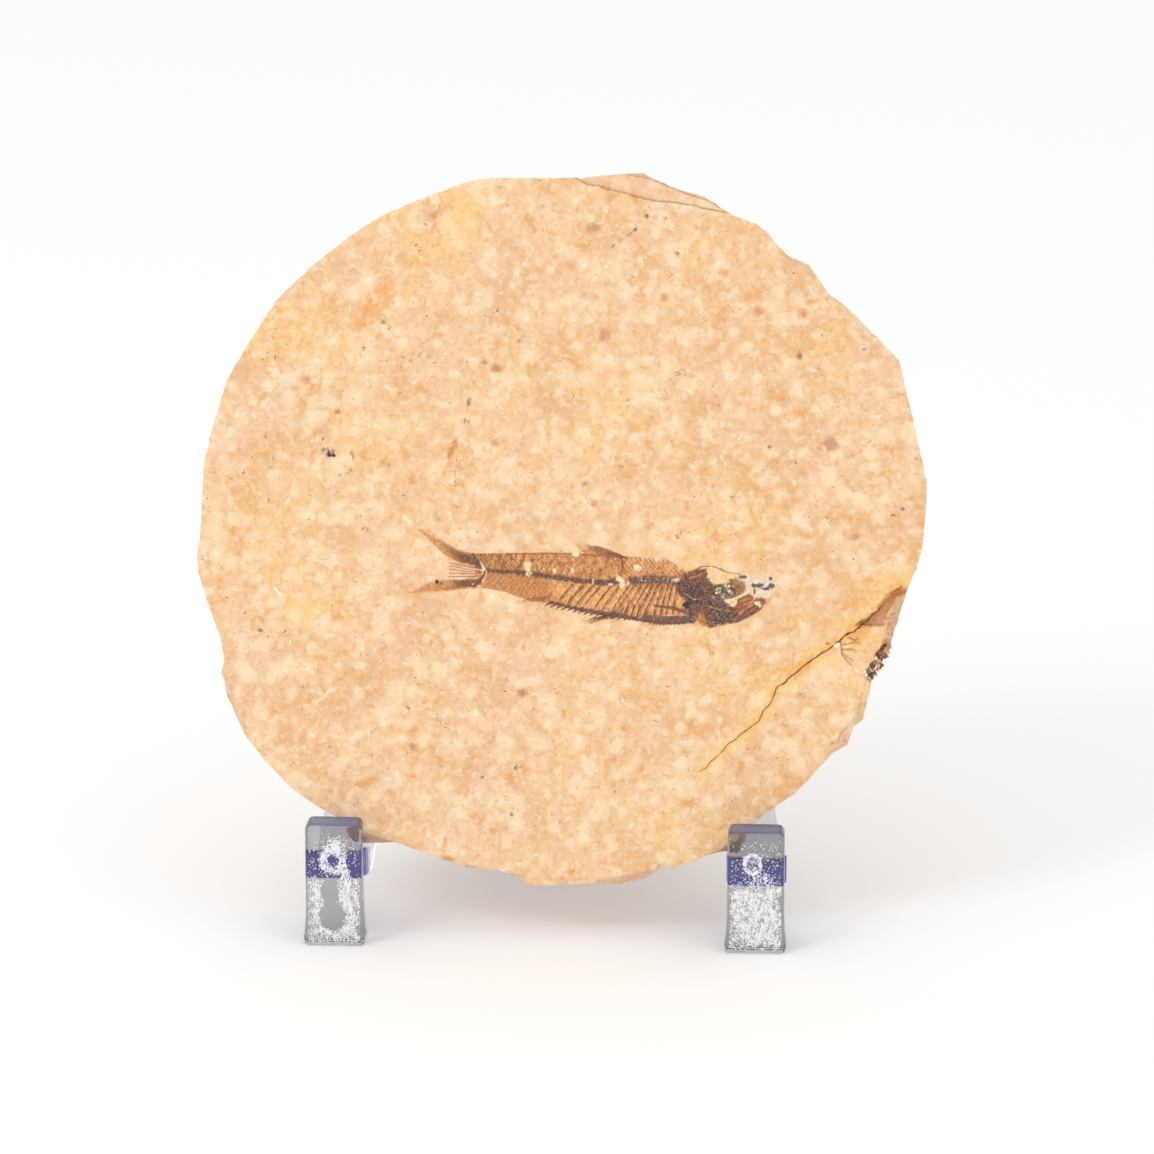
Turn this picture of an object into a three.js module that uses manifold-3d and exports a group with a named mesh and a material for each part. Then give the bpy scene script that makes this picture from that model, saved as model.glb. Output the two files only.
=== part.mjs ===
// A near-round slab of cream limestone with a fossil fish in it, leaning in a clear cemented easel.
// Millimetres, +Z up, the fish faces -Y and its head points to +X.
import * as THREE from "three";
import { mergeVertices } from "three/addons/utils/BufferGeometryUtils.js";
import Module from "manifold-3d";

const wasm = await Module();
wasm.setup();

// Driving sizes of the slab
const SLAB_THICKNESS = 8;
const FACE = SLAB_THICKNESS / 2;
const RIM_RINGS = 3;
const KNAP = 0.42;
const SLAB_ABOVE_LEDGE = 55.6;
const SLAB_BESIDE_STAND = 1.5;
const GAP = 0.3;

// Driving sizes of the fish
const BED_DEPTH = 0.9;
const FILM_ABOVE_STONE = 0.15;
const BONE_ROOT = FACE - 0.4;
const VERTEBRAE = 34;
const RIBS = 19;
const NEURAL_SPINES = 30;
const HAEMAL_SPINES = 11;

// Driving sizes of the stand
const SHEET = 4.8;
const POST_WIDTH = 9.7;
const POST_HEIGHT = 21.7;
const POST_SPACING = 72;
const POST_CORNER = 1.2;
const FOOT_FLARE = 0.6;
const FOOT_HEIGHT = 7;
const POST_SOFTNESS = 0.5;
const LEDGE_TOP = 16;
const LEDGE_LENGTH = 10;
const LEDGE_WIDTH = 10.2;
const LEAN = THREE.MathUtils.degToRad(17);
const UPRIGHT_LENGTH = 60;
const UPRIGHT_TAPER = Math.tan(THREE.MathUtils.degToRad(9.5));
const PANEL_LOW = 28;
const PANEL_HIGH = 56;
const LEG_WIDTH = 24;
const LEG_JOINT = 42;
const LEG_FOOT_BACK = 57;
const EDGE_BREAK = 0.3;

// The slab's outline as seen square on, clockwise from the upper left, about the slab's middle
const RIM = [
  [-13.2, 59.8], [-4, 59.8], [3, 60], [8.1, 60.7], [13.1, 61], [18.2, 58.6], [23.7, 57.1],
  [28.8, 53.8], [32.8, 52.4], [34.8, 50.8], [37.9, 47.2], [41.9, 45.5], [45.4, 40.4],
  [47.5, 39.2], [51, 35.9], [57.6, 29.3], [58.3, 26.3], [60.6, 17.2], [62.6, 8.6], [62.6, 5.1],
  [62.1, -2.2], [61.1, -6.3], [59.3, -10.6], [57.3, -17.4], [56.8, -19.9], [53.8, -25.2],
  [53, -29], [52.3, -32.3], [50.7, -33.5], [49.7, -36.6], [47.2, -38.1], [41.4, -44.6],
  [35.8, -48.7], [30.4, -53.4], [28.3, -55], [24.3, -56.9], [20.2, -58.3], [18.2, -58.1], [15.7, -60],
  [11.1, -61.2], [8.1, -61], [-3.5, -61.7], [-7.8, -59.8], [-10.4, -58.9], [-14.1, -59],
  [-19.4, -57.4], [-28.8, -54.3], [-33.1, -53], [-41.5, -48.5], [-45.7, -45.6],
  [-50.4, -40.9], [-54.6, -35.6], [-57.3, -29.8], [-58.2, -26.1], [-57.6, -24],
  [-58.3, -20.3], [-60.4, -14.6], [-62.4, -8.8], [-62.6, -6.7], [-62, 0.2], [-61.7, 10.2],
  [-60.3, 16.4], [-58, 24.4], [-53.2, 32.7], [-48.8, 39.6], [-45.7, 42.5], [-36.9, 49.6],
  [-32.4, 52.7], [-26.5, 55.4], [-21.5, 57.3], [-16.7, 59.2],
];

// Places on the front face: the crack and its branch, the lost flake, the split laminations
const CRACK = [
  [57.6, -10.2], [55.6, -12.6], [51.8, -16], [48.3, -18.7], [45.2, -21.2], [42.1, -23],
  [39.9, -25.1], [37.4, -27.3], [36.5, -29.6], [34.4, -32.7], [32.3, -34.4], [29.2, -37.2],
  [24.8, -41.5],
];
const CRACK_BRANCH = [[48.6, -18.6], [49.4, -20.4], [50.6, -22.4]];
const LOST_FLAKE = [
  [50.8, -16.4], [53.5, -13.7], [55.6, -11.8], [57.6, -9.8], [61, -9], [61, -13.6],
  [57.6, -14.6], [54.6, -16.6],
];
const FIRST_LAMINATION = [
  [1.2, 62], [1.2, 60], [3.6, 58.7], [7.4, 57.9], [12.2, 56.7], [18.2, 55.9], [23.6, 54.9],
  [27.6, 54.2], [30, 56], [22, 62],
];
const SECOND_LAMINATION = [
  [8.6, 63], [9.6, 60.9], [13.8, 60], [18.2, 58.3], [22.5, 56.7], [26.2, 55.1], [29, 56.6],
  [22, 62],
];
const RIM_CHIPS = [
  { from: [38, 47.6], to: [43.2, 44.2], width: 1.1, drop: 1.4 },
  { from: [56.6, -20.6], to: [54, -28], width: 0.9, drop: 3 },
  { from: [53.4, -29.4], to: [46.4, -39.6], width: 1.2, drop: 2.8 },
  { from: [20.6, -58.6], to: [6.6, -61.6], width: 1, drop: 2.2 },
  { from: [-5, -61.2], to: [-15.4, -59.4], width: 1.3, drop: 3 },
  { from: [-54.2, -36.4], to: [-58.6, -25.4], width: 1, drop: 2.6 },
  { from: [-50, 38.2], to: [-44.4, 43.8], width: 1.2, drop: 2.4 },
];

// The two shoulders under the front edge, on which the slab stands on its ledges
const SHOULDERS = [
  { at: [-33.1, -53], reach: 2.1, spread: 0.07 },
  { at: [30.4, -53.4], reach: 1.7, spread: 0.05 },
];
const CRYSTAL_POCKET = { at: [56.2, -23.4], radius: 2.6, height: 0.6 };

// Split steps on the rough back face, as outline and depth
const BACK_STEPS = [
  { outline: [[-70, -30], [-40, -22], [-18, -38], [4, -34], [22, -48], [30, -70], [-70, -70]], depth: 0.7 },
  { outline: [[-70, -46], [-36, -38], [-20, -50], [-6, -46], [6, -70], [-70, -70]], depth: 1.4 },
  { outline: [[70, 12], [46, 18], [38, 34], [20, 40], [12, 70], [70, 70]], depth: 0.9 },
  { outline: [[70, 30], [54, 32], [44, 46], [30, 52], [28, 70], [70, 70]], depth: 1.7 },
  { outline: [[-70, 40], [-50, 30], [-34, 44], [-30, 70], [-70, 70]], depth: 0.8 },
];

// The fish: back, belly and backbone as seen on the slab, tail to snout
const BACK_LINE = [
  [-16.5, -4.9], [-9.5, -4.7], [-3.3, -4.5], [2.4, -4.5], [10.7, -5], [18.2, -5.2],
  [22.2, -6], [26.5, -6.3], [29.2, -7.2], [31.4, -7.8],
];
const BELLY_LINE = [
  [-13.4, -10.8], [-10.3, -11.2], [-7.2, -12.2], [-2.4, -13.2], [3.1, -14.3], [9.5, -15.3],
  [16.9, -16.5], [22.8, -16.5], [25.6, -17], [31, -15.7],
];
const BACKBONE = [
  [-12.7, -7.7], [-8.9, -7.9], [-5.8, -8.1], [-1.5, -8.6], [2.9, -9.3], [7.2, -9.5],
  [10.3, -9.1], [13.8, -8.9], [18.2, -8.9], [20.8, -9.1],
];
const TAIL_ROOT = [-12.9, -7.7];
const UPPER_LOBE_EDGE = [[-23.9, -0.9], [-21.4, -4.1], [-19.2, -6.5]];
const LOWER_LOBE_EDGE = [[-19.2, -9.1], [-22.4, -10.6], [-26.3, -11.9]];
const SNOUT = [[34.5, -7.9], [37.6, -8.5], [37.8, -10.4], [35.4, -12.3], [33.5, -13.9], [31, -15.7]];
const SKULL_ROOF = [
  [21.6, -6.6], [26.4, -6.7], [29.1, -7.5], [31, -8.2], [29.8, -9.3], [25.4, -9.2], [21.8, -9],
];
const GILL_COVER = [[20.6, -9.9], [24.6, -9.8], [26, -12.2], [25.7, -16.4], [23, -15.9], [21, -13.2]];
const CHEEK = [[26.4, -12.6], [29.8, -12.9], [30.6, -14.3], [28.4, -16], [26, -16.4]];
const JAW = [[30.8, -11.2], [35, -12.3], [33.4, -13.7], [31, -15.3], [29.2, -15.7], [30.6, -13.6]];
const SNOUT_PLATE = [[32.2, -8.4], [36.9, -8.8], [37.2, -10], [34.6, -11.6], [32, -10.6]];
const EYE = { at: [28.6, -10.8], radius: 1.5 };
const SHOULDER_SPOT = { at: [21.7, -13.1], radius: 0.7 };

// Turns a closed three.js geometry into a solid that can be joined and cut
function solid(geometry) {
  const bare = geometry.clone();
  bare.deleteAttribute("normal");
  bare.deleteAttribute("uv");
  const merged = mergeVertices(bare, 1e-4);
  return new wasm.Manifold(
    new wasm.Mesh({
      numProp: 3,
      vertProperties: merged.attributes.position.array,
      triVerts: new Uint32Array(merged.index.array),
    }),
  );
}

// Turns a solid back into a geometry
function geometryOf(body) {
  const mesh = body.getMesh();
  const geometry = new THREE.BufferGeometry();
  geometry.setAttribute("position", new THREE.BufferAttribute(new Float32Array(mesh.vertProperties), 3));
  geometry.setIndex(new THREE.BufferAttribute(new Uint32Array(mesh.triVerts), 1));
  geometry.computeVertexNormals();
  return geometry;
}

function shapeOf(points) {
  return new THREE.Shape(points.map(([x, y]) => new THREE.Vector2(x, y)));
}

// A prism over an outline on the slab's face, between two heights
function prism(points, low, high) {
  const plate = new THREE.ExtrudeGeometry(shapeOf(points), { depth: high - low, bevelEnabled: false });
  return plate.translate(0, 0, low);
}

// The outline of a tapering strip along a path
function stripOutline(path, startWidth, endWidth) {
  const left = [];
  const right = [];
  path.forEach(([x, y], i) => {
    const [ax, ay] = path[Math.max(i - 1, 0)];
    const [bx, by] = path[Math.min(i + 1, path.length - 1)];
    const length = Math.hypot(bx - ax, by - ay);
    const half = THREE.MathUtils.lerp(startWidth, endWidth, i / (path.length - 1)) / 2;
    const nx = (-(by - ay) / length) * half;
    const ny = ((bx - ax) / length) * half;
    left.push([x + nx, y + ny]);
    right.unshift([x - nx, y - ny]);
  });
  return [...right, ...left];
}

// A raised bone or ray along a path on the face
function ridge(path, startWidth, endWidth, height) {
  return solid(prism(stripOutline(path, startWidth, endWidth), BONE_ROOT, FACE + height));
}

// The height of a line of places at a distance along the fish
function heightAt(line, x) {
  const next = Math.max(1, line.findIndex(([u]) => u >= x));
  const [ax, ay] = line[next - 1];
  const [bx, by] = line[next];
  return THREE.MathUtils.lerp(ay, by, (x - ax) / (bx - ax));
}

// The place at a share of the way along a list of places
function placeAlong(line, share) {
  const spot = share * (line.length - 1);
  const i = Math.min(Math.floor(spot), line.length - 2);
  return [0, 1].map((k) => THREE.MathUtils.lerp(line[i][k], line[i + 1][k], spot - i));
}

// Saw teeth that point down and tailwards along the belly
function sawEdge(from, to, teeth, depth) {
  const points = [];
  for (let i = 0; i < teeth; i += 1) {
    const x = THREE.MathUtils.lerp(from, to, i / teeth);
    const width = (to - from) / teeth;
    points.push([x, heightAt(BELLY_LINE, x)]);
    points.push([x + width * 0.15, heightAt(BELLY_LINE, x) - depth]);
  }
  return points;
}

// The outline of the whole fish, clockwise from the tip of the upper tail lobe
function fishOutline() {
  const dorsalFin = [[2.6, -3.9], [3.4, -2.9], [6.4, -3.4], [8.6, -4.1]];
  const analFin = [[-3.4, -13.3], [-5.5, -13.1], [-8.1, -12.4]];
  const pelvicFin = [[8.9, -15.5], [5.2, -16.7], [4.4, -16.1]];
  const belly = [...sawEdge(-2.6, 3.8, 6, 0.35), ...pelvicFin.reverse(), ...sawEdge(10.2, 21.8, 11, 0.35)];
  return [
    UPPER_LOBE_EDGE[0], [-21.3, -1.7], [-19.1, -3.6],
    ...BACK_LINE.slice(0, 3), ...dorsalFin, ...BACK_LINE.slice(4),
    ...SNOUT, [28.2, -16.4], [25.6, -17], [23, -16.6],
    ...belly.reverse(),
    ...analFin, [-10.3, -11.3], [-13.4, -10.8], [-16.9, -11], [-21.3, -11.7],
    ...[...LOWER_LOBE_EDGE].reverse(), [-18.4, -7.8],
    ...[...UPPER_LOBE_EDGE].reverse().slice(0, 2),
  ];
}

// The bed that the fish lies in: its outline, wider by the gap all round
function fishBed(outline) {
  const floor = FACE - BED_DEPTH;
  let bed = solid(prism(outline, floor, FACE + 1));
  outline.forEach((start, i) => {
    const end = outline[(i + 1) % outline.length];
    const length = Math.hypot(end[0] - start[0], end[1] - start[1]);
    const edge = new THREE.BoxGeometry(length + 2 * GAP, 2 * GAP + 0.1, BED_DEPTH + 1);
    edge.rotateZ(Math.atan2(end[1] - start[1], end[0] - start[0]));
    edge.translate((start[0] + end[0]) / 2, (start[1] + end[1]) / 2, floor + (BED_DEPTH + 1) / 2);
    bed = bed.add(solid(edge));
  });
  return bed;
}

// The backbone's bones, a little block each, with a groove between neighbours
function vertebrae() {
  const blocks = [];
  for (let i = 0; i < VERTEBRAE; i += 1) {
    const middle = placeAlong(BACKBONE, (i + 0.5) / VERTEBRAE);
    const ahead = placeAlong(BACKBONE, (i + 0.9) / VERTEBRAE);
    const tall = THREE.MathUtils.lerp(0.7, 1.15, i / VERTEBRAE);
    const block = new THREE.BoxGeometry(0.78, tall, 1);
    block.rotateZ(Math.atan2(ahead[1] - middle[1], ahead[0] - middle[0]));
    block.translate(middle[0], middle[1], FACE);
    blocks.push(solid(block));
  }
  return blocks;
}

// Ribs that sweep down and tailwards to the belly, steeper near the head
function ribs() {
  return Array.from({ length: RIBS }, (_, i) => {
    const share = i / (RIBS - 1);
    const x = THREE.MathUtils.lerp(0.6, 20.6, share);
    const sweep = THREE.MathUtils.lerp(4.4, 1.4, share);
    const top = heightAt(BACKBONE, x) - 0.3;
    const low = heightAt(BELLY_LINE, x - sweep) + 0.5;
    const middle = [x - sweep * 0.42, THREE.MathUtils.lerp(top, low, 0.55)];
    return ridge([[x, top], middle, [x - sweep, low]], 0.42, 0.26, 0.36);
  });
}

// Spines above the backbone, each leaning tailwards to the back
function neuralSpines() {
  return Array.from({ length: NEURAL_SPINES }, (_, i) => {
    const share = i / (NEURAL_SPINES - 1);
    const x = THREE.MathUtils.lerp(-11, 20.4, share);
    const sweep = THREE.MathUtils.lerp(1.5, 2.1, share);
    const end = [x - sweep, heightAt(BACK_LINE, x - sweep) - 0.5];
    return ridge([[x, heightAt(BACKBONE, x) + 0.2], end], 0.34, 0.24, 0.3);
  });
}

// Spines below the backbone in the tail half
function haemalSpines() {
  return Array.from({ length: HAEMAL_SPINES }, (_, i) => {
    const x = THREE.MathUtils.lerp(-11, -0.6, i / (HAEMAL_SPINES - 1));
    const foot = Math.max(x - 1.9, -13);
    const end = [foot, heightAt(BELLY_LINE, foot) + 0.4];
    return ridge([[x, heightAt(BACKBONE, x) - 0.2], end], 0.34, 0.24, 0.3);
  });
}

// Rays that fan from a root to places along an edge
function fan(root, edge, count, reach) {
  return Array.from({ length: count }, (_, i) => {
    const tip = placeAlong(edge, (i + 0.3) / count);
    const end = [0, 1].map((k) => THREE.MathUtils.lerp(root[k], tip[k], reach));
    return ridge([root, end], 0.5, 0.34, 0.28);
  });
}

// Rays that rise side by side from the foot of a fin
function fin(from, to, reach, count) {
  return Array.from({ length: count }, (_, i) => {
    const foot = [0, 1].map((k) => THREE.MathUtils.lerp(from[k], to[k], i / (count - 1)));
    return ridge([foot, [foot[0] + reach[0], foot[1] + reach[1]]], 0.34, 0.26, 0.28);
  });
}

// The skull's plates, with the eye's ring round its hollow
function headPlates() {
  const plates = [
    [SKULL_ROOF, 0.7],
    [GILL_COVER, 0.6],
    [CHEEK, 0.45],
    [JAW, 0.65],
    [SNOUT_PLATE, 0.4],
  ].map(([outline, height]) => solid(prism(outline, BONE_ROOT, FACE + height)));
  const ring = new THREE.CylinderGeometry(EYE.radius, EYE.radius + 0.2, 1, 10);
  ring.rotateX(Math.PI / 2);
  ring.translate(...EYE.at, FACE + 0.05);
  const hollow = new THREE.CylinderGeometry(EYE.radius * 0.6, EYE.radius * 0.5, 1, 10);
  hollow.rotateX(Math.PI / 2);
  hollow.translate(...EYE.at, FACE + 0.75);
  const spot = new THREE.CylinderGeometry(SHOULDER_SPOT.radius, SHOULDER_SPOT.radius, 1.4, 8);
  spot.rotateX(Math.PI / 2);
  spot.translate(...SHOULDER_SPOT.at, FACE + 0.1);
  return { raised: [...plates, solid(ring), solid(spot)], hollow: solid(hollow) };
}

// The whole fish, one body of film and bones, kept inside its outline
function fossilFish(outline) {
  const head = headPlates();
  const bones = [
    ...vertebrae(),
    ...ribs(),
    ...neuralSpines(),
    ...haemalSpines(),
    ...fan(TAIL_ROOT, UPPER_LOBE_EDGE, 6, 0.96),
    ...fan(TAIL_ROOT, LOWER_LOBE_EDGE, 6, 0.96),
    ...fin([9.4, -5], [4.2, -4.7], [-1.6, 1.3], 6),
    ...fin([-3.6, -12.6], [-7.6, -11.9], [-0.9, -0.8], 5),
    ...fin([9.6, -14.6], [8.4, -14.6], [-4.4, -1.7], 3),
    ...fin([22, -14], [21.4, -15.2], [-4.4, -0.9], 3),
    ...head.raised,
  ];
  const film = solid(prism(outline, FACE - BED_DEPTH + GAP, FACE + FILM_ABOVE_STONE));
  const clip = solid(prism(outline, 0, FACE + SLAB_THICKNESS));
  return bones.reduce((body, bone) => body.add(bone), film).subtract(head.hollow).intersect(clip);
}

// Pushes the side of the slab in and out, as knapping leaves it, and keeps the front edge
function knapped(geometry) {
  const place = geometry.attributes.position;
  for (let i = 0; i < place.count; i += 1) {
    const [x, y, z] = [place.getX(i), place.getY(i), place.getZ(i)];
    const turn = Math.atan2(y, x);
    const down = (FACE - z) / SLAB_THICKNESS;
    const shoulder = SHOULDERS.map(({ at, spread }) => {
      const away = (turn - Math.atan2(at[1], at[0])) / spread;
      return Math.exp(-(away ** 2));
    });
    const waves = Math.sin(23 * turn + 2.1 * z) + Math.sin(41 * turn - 1.3 * z) + Math.sin(67 * turn + z);
    const ragged = (KNAP * waves - 0.4 * down) * (1 - Math.max(...shoulder));
    const bulge = SHOULDERS.reduce((sum, { reach }, k) => sum + reach * shoulder[k], 0);
    const stretch = 1 + ((ragged + bulge) * Math.min(1, 2 * down)) / Math.hypot(x, y);
    place.setXY(i, x * stretch, y * stretch);
  }
  return geometry;
}

// A bevel broken off the front edge between two places, given clockwise round the rim
function rimChip({ from, to, width, drop }) {
  const section = [[-width, 0.2], [0, -drop], [3, -drop], [3, 0.2]];
  const along = new THREE.Vector3(to[0] - from[0], to[1] - from[1], 0);
  const wedge = new THREE.ExtrudeGeometry(shapeOf(section), { depth: along.length(), bevelEnabled: false });
  along.normalize();
  const outward = new THREE.Vector3(-along.y, along.x, 0);
  const seat = new THREE.Matrix4().makeBasis(outward, new THREE.Vector3(0, 0, 1), along);
  return solid(wedge.applyMatrix4(seat.setPosition(...from, FACE)));
}

// The rough dark pocket on the rim, a pit with blunt crystals standing in it
function crystalPocket({ at, radius, height }) {
  const pit = new THREE.IcosahedronGeometry(radius, 1);
  pit.scale(0.8, 1, 0.9);
  pit.translate(...at, height);
  const places = [[-1.5, 1.1, 0.9], [-1.9, -0.3, 1.1], [-1.3, -1.5, 0.8], [-1.2, 0.4, -0.4]];
  const crystals = places.map(([x, y, z], i) => {
    const crystal = new THREE.OctahedronGeometry(0.95);
    crystal.rotateZ(i);
    crystal.rotateX(0.7 * i);
    crystal.translate(at[0] + x, at[1] + y, height + z);
    return solid(crystal);
  });
  return { pit: solid(pit), crystals };
}

// The limestone slab
function stoneSlab(outline) {
  const blank = new THREE.ExtrudeGeometry(shapeOf(RIM), {
    depth: SLAB_THICKNESS,
    steps: RIM_RINGS,
    bevelEnabled: false,
  });
  blank.translate(0, 0, -FACE);
  const pocket = crystalPocket(CRYSTAL_POCKET);
  const cuts = [
    prism(stripOutline(CRACK, 1.3, 0.3), FACE - 1.4, FACE + 1),
    prism(stripOutline(CRACK_BRANCH, 0.5, 0.3), FACE - 1, FACE + 1),
    prism(LOST_FLAKE, FACE - 2.2, FACE + 1),
    prism(FIRST_LAMINATION, FACE - 0.45, FACE + 1),
    prism(SECOND_LAMINATION, FACE - 1.1, FACE + 1),
    ...BACK_STEPS.map(({ outline: step, depth }) => prism(step, -FACE - 1, -FACE + depth)),
  ].map(solid);
  cuts.push(pocket.pit, fishBed(outline), ...RIM_CHIPS.map(rimChip));
  const cut = cuts.reduce((body, tool) => body.subtract(tool), solid(knapped(blank)));
  return pocket.crystals.reduce((body, crystal) => body.add(crystal), cut);
}

// A bar or plate of sheet, from its outline seen from the front or the side
function sheetPiece(points, thickness, softness) {
  const piece = new THREE.ExtrudeGeometry(shapeOf(points), {
    depth: thickness - 2 * softness,
    bevelThickness: softness,
    bevelSize: softness,
    bevelOffset: -softness,
    bevelSegments: 2,
  });
  return piece.translate(0, 0, softness - thickness / 2);
}

// Turns an outline drawn as (back, up) so that the piece's thickness runs across
function turnedAcross(geometry) {
  const across = new THREE.Matrix4().makeBasis(
    new THREE.Vector3(0, 1, 0),
    new THREE.Vector3(0, 0, 1),
    new THREE.Vector3(1, 0, 0),
  );
  return geometry.applyMatrix4(across);
}

// The front hook: a foot, a shaft and a lip in one upright with soft corners
function post() {
  const half = POST_WIDTH / 2;
  const foot = half + FOOT_FLARE;
  const top = POST_HEIGHT - POST_CORNER;
  const corner = (x, start) =>
    [0, 1, 2, 3].map((i) => {
      const turn = start + (i * Math.PI) / 6;
      return [x + POST_CORNER * Math.cos(turn), top + POST_CORNER * Math.sin(turn)];
    });
  const outline = [
    [-foot, 0],
    [foot, 0],
    [half + FOOT_FLARE / 3, FOOT_HEIGHT / 2],
    [half, FOOT_HEIGHT],
    ...corner(half - POST_CORNER, 0),
    ...corner(POST_CORNER - half, Math.PI / 2),
    [-half, FOOT_HEIGHT],
    [-half - FOOT_FLARE / 3, FOOT_HEIGHT / 2],
  ];
  return sheetPiece(outline, SHEET, POST_SOFTNESS).rotateX(Math.PI / 2);
}

// The place, as back and up, at a run along the sloping ledge and a rise square to it
function inCradle(run, rise) {
  return [
    SHEET + run * Math.cos(LEAN) + rise * Math.sin(LEAN),
    LEDGE_TOP - run * Math.sin(LEAN) + rise * Math.cos(LEAN),
  ];
}

// The ledge from the back of a post to the foot of an upright
function ledge() {
  const front = SHEET + GAP;
  const topAtFront = LEDGE_TOP - GAP * Math.tan(LEAN);
  const outline = [
    [front, topAtFront],
    [front, topAtFront - SHEET / Math.cos(LEAN)],
    inCradle(LEDGE_LENGTH, -SHEET),
    inCradle(LEDGE_LENGTH, 0),
  ];
  return turnedAcross(sheetPiece(outline, LEDGE_WIDTH, EDGE_BREAK));
}

// The half width of the pair of uprights' outer edges at a rise
function outerEdge(rise) {
  return POST_SPACING / 2 + POST_WIDTH / 2 - (rise + SHEET) * UPRIGHT_TAPER;
}

// An upright that leans in towards its twin; side is 1 on the right and -1 on the left
function upright(side) {
  const outline = [
    [outerEdge(-SHEET) - POST_WIDTH, -SHEET],
    [outerEdge(-SHEET), -SHEET],
    [outerEdge(UPRIGHT_LENGTH), UPRIGHT_LENGTH],
    [outerEdge(UPRIGHT_LENGTH) - POST_WIDTH, UPRIGHT_LENGTH],
  ].map(([x, y]) => [side * x, y]);
  return sheetPiece(side > 0 ? outline : outline.reverse(), SHEET, EDGE_BREAK);
}

// The plate between the uprights
function crossPanel() {
  const low = outerEdge(PANEL_LOW) - POST_WIDTH - GAP;
  const high = outerEdge(PANEL_HIGH) - POST_WIDTH - GAP;
  const outline = [[-low, PANEL_LOW], [low, PANEL_LOW], [high, PANEL_HIGH], [-high, PANEL_HIGH]];
  return sheetPiece(outline, SHEET, EDGE_BREAK);
}

// The leg from the panel's back down to the table
function rearLeg() {
  const run = LEDGE_LENGTH + 2 * GAP + SHEET;
  const joint = new THREE.Vector2(...inCradle(run, LEG_JOINT));
  const toe = new THREE.Vector2(LEG_FOOT_BACK, 0);
  const along = toe.clone().sub(joint).normalize();
  const panel = new THREE.Vector2(Math.sin(LEAN), Math.cos(LEAN));
  const upper = joint.clone().addScaledVector(panel, SHEET / Math.abs(panel.cross(along)));
  const heel = upper.clone().addScaledVector(along, -upper.y / along.y);
  const outline = [joint, toe, heel, upper].map((point) => [point.x, point.y]);
  return turnedAcross(sheetPiece(outline, LEG_WIDTH, EDGE_BREAK));
}

const stone = new THREE.MeshStandardMaterial({ color: 0xeed4a8, roughness: 0.85, metalness: 0 });
const bone = new THREE.MeshStandardMaterial({ color: 0x8a5530, roughness: 0.6, metalness: 0 });
const clear = new THREE.MeshStandardMaterial({ color: 0xb9bcc6, roughness: 0.08, metalness: 0 });

function named(name, geometry, material) {
  const mesh = new THREE.Mesh(geometry, material);
  mesh.name = name;
  return mesh;
}

// The cradle's own frame: x to the right, y up the lean, z out of the stone's face
const cradle = new THREE.Group();
cradle.position.set(0, SHEET, LEDGE_TOP);
cradle.rotation.x = Math.PI / 2 - LEAN;

const specimen = new THREE.Group();
specimen.position.set(SLAB_BESIDE_STAND, SLAB_ABOVE_LEDGE, FACE - LEDGE_LENGTH);
const outline = fishOutline();
specimen.add(named("stone_slab", geometryOf(stoneSlab(outline)), stone));
specimen.add(named("fossil_fish", geometryOf(fossilFish(outline)), bone));
cradle.add(specimen);

const frame = new THREE.Group();
frame.position.z = -(LEDGE_LENGTH + GAP + SHEET / 2);
frame.add(named("left_upright", upright(-1), clear));
frame.add(named("right_upright", upright(1), clear));
frame.add(named("cross_panel", crossPanel(), clear));
cradle.add(frame);

const group = new THREE.Group();
group.add(cradle);
[["left", -1], ["right", 1]].forEach(([name, side]) => {
  const hook = named(`${name}_post`, post(), clear);
  hook.position.set((side * POST_SPACING) / 2, SHEET / 2, 0);
  const rest = named(`${name}_ledge`, ledge(), clear);
  rest.position.x = (side * POST_SPACING) / 2;
  group.add(hook, rest);
});
group.add(named("rear_leg", rearLeg(), clear));

// The origin stands under the middle of the whole object
const box = new THREE.Box3().setFromObject(group, true);
const middle = box.getCenter(new THREE.Vector3());
group.position.set(-middle.x, -middle.y, -box.min.z);

export default group;
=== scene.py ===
"""Dresses the fossil fish slab: the knapped limestone, the fish in it and the clear easel.

Lengths are in millimetres while a mesh is shaped, and in metres once it is placed.
"""

import logging
import math
from collections.abc import Callable
from dataclasses import dataclass
from enum import Enum

import bpy
import numpy as np
from mathutils import Matrix, Vector


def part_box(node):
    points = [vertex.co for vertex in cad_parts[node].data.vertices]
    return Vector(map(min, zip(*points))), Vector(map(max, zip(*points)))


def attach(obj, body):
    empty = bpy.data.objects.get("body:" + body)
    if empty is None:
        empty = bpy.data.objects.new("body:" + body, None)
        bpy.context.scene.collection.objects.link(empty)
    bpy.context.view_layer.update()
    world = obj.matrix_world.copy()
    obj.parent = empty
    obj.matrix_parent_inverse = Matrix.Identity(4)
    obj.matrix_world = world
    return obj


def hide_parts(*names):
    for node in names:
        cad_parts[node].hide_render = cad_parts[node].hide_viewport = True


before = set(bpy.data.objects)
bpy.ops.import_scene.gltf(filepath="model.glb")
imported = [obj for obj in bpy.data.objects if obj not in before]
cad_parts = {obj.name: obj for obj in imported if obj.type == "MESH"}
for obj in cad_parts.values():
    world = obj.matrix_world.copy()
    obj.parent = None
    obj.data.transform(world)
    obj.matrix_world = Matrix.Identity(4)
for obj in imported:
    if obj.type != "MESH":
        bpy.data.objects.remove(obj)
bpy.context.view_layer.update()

Values = np.ndarray
Piece = bpy.types.Object
Material = bpy.types.Material
Socket = bpy.types.NodeSocket

LOG = logging.getLogger("fossil_fish_slab")
MM = 0.001
FACE = 4.0
SLAB_THICKNESS = 8.0
IN_MM = (1 / MM, 1 / MM, 1 / MM)
RIPPLE_CELLS = 256
CRYSTAL_CORNERS = 12

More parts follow.
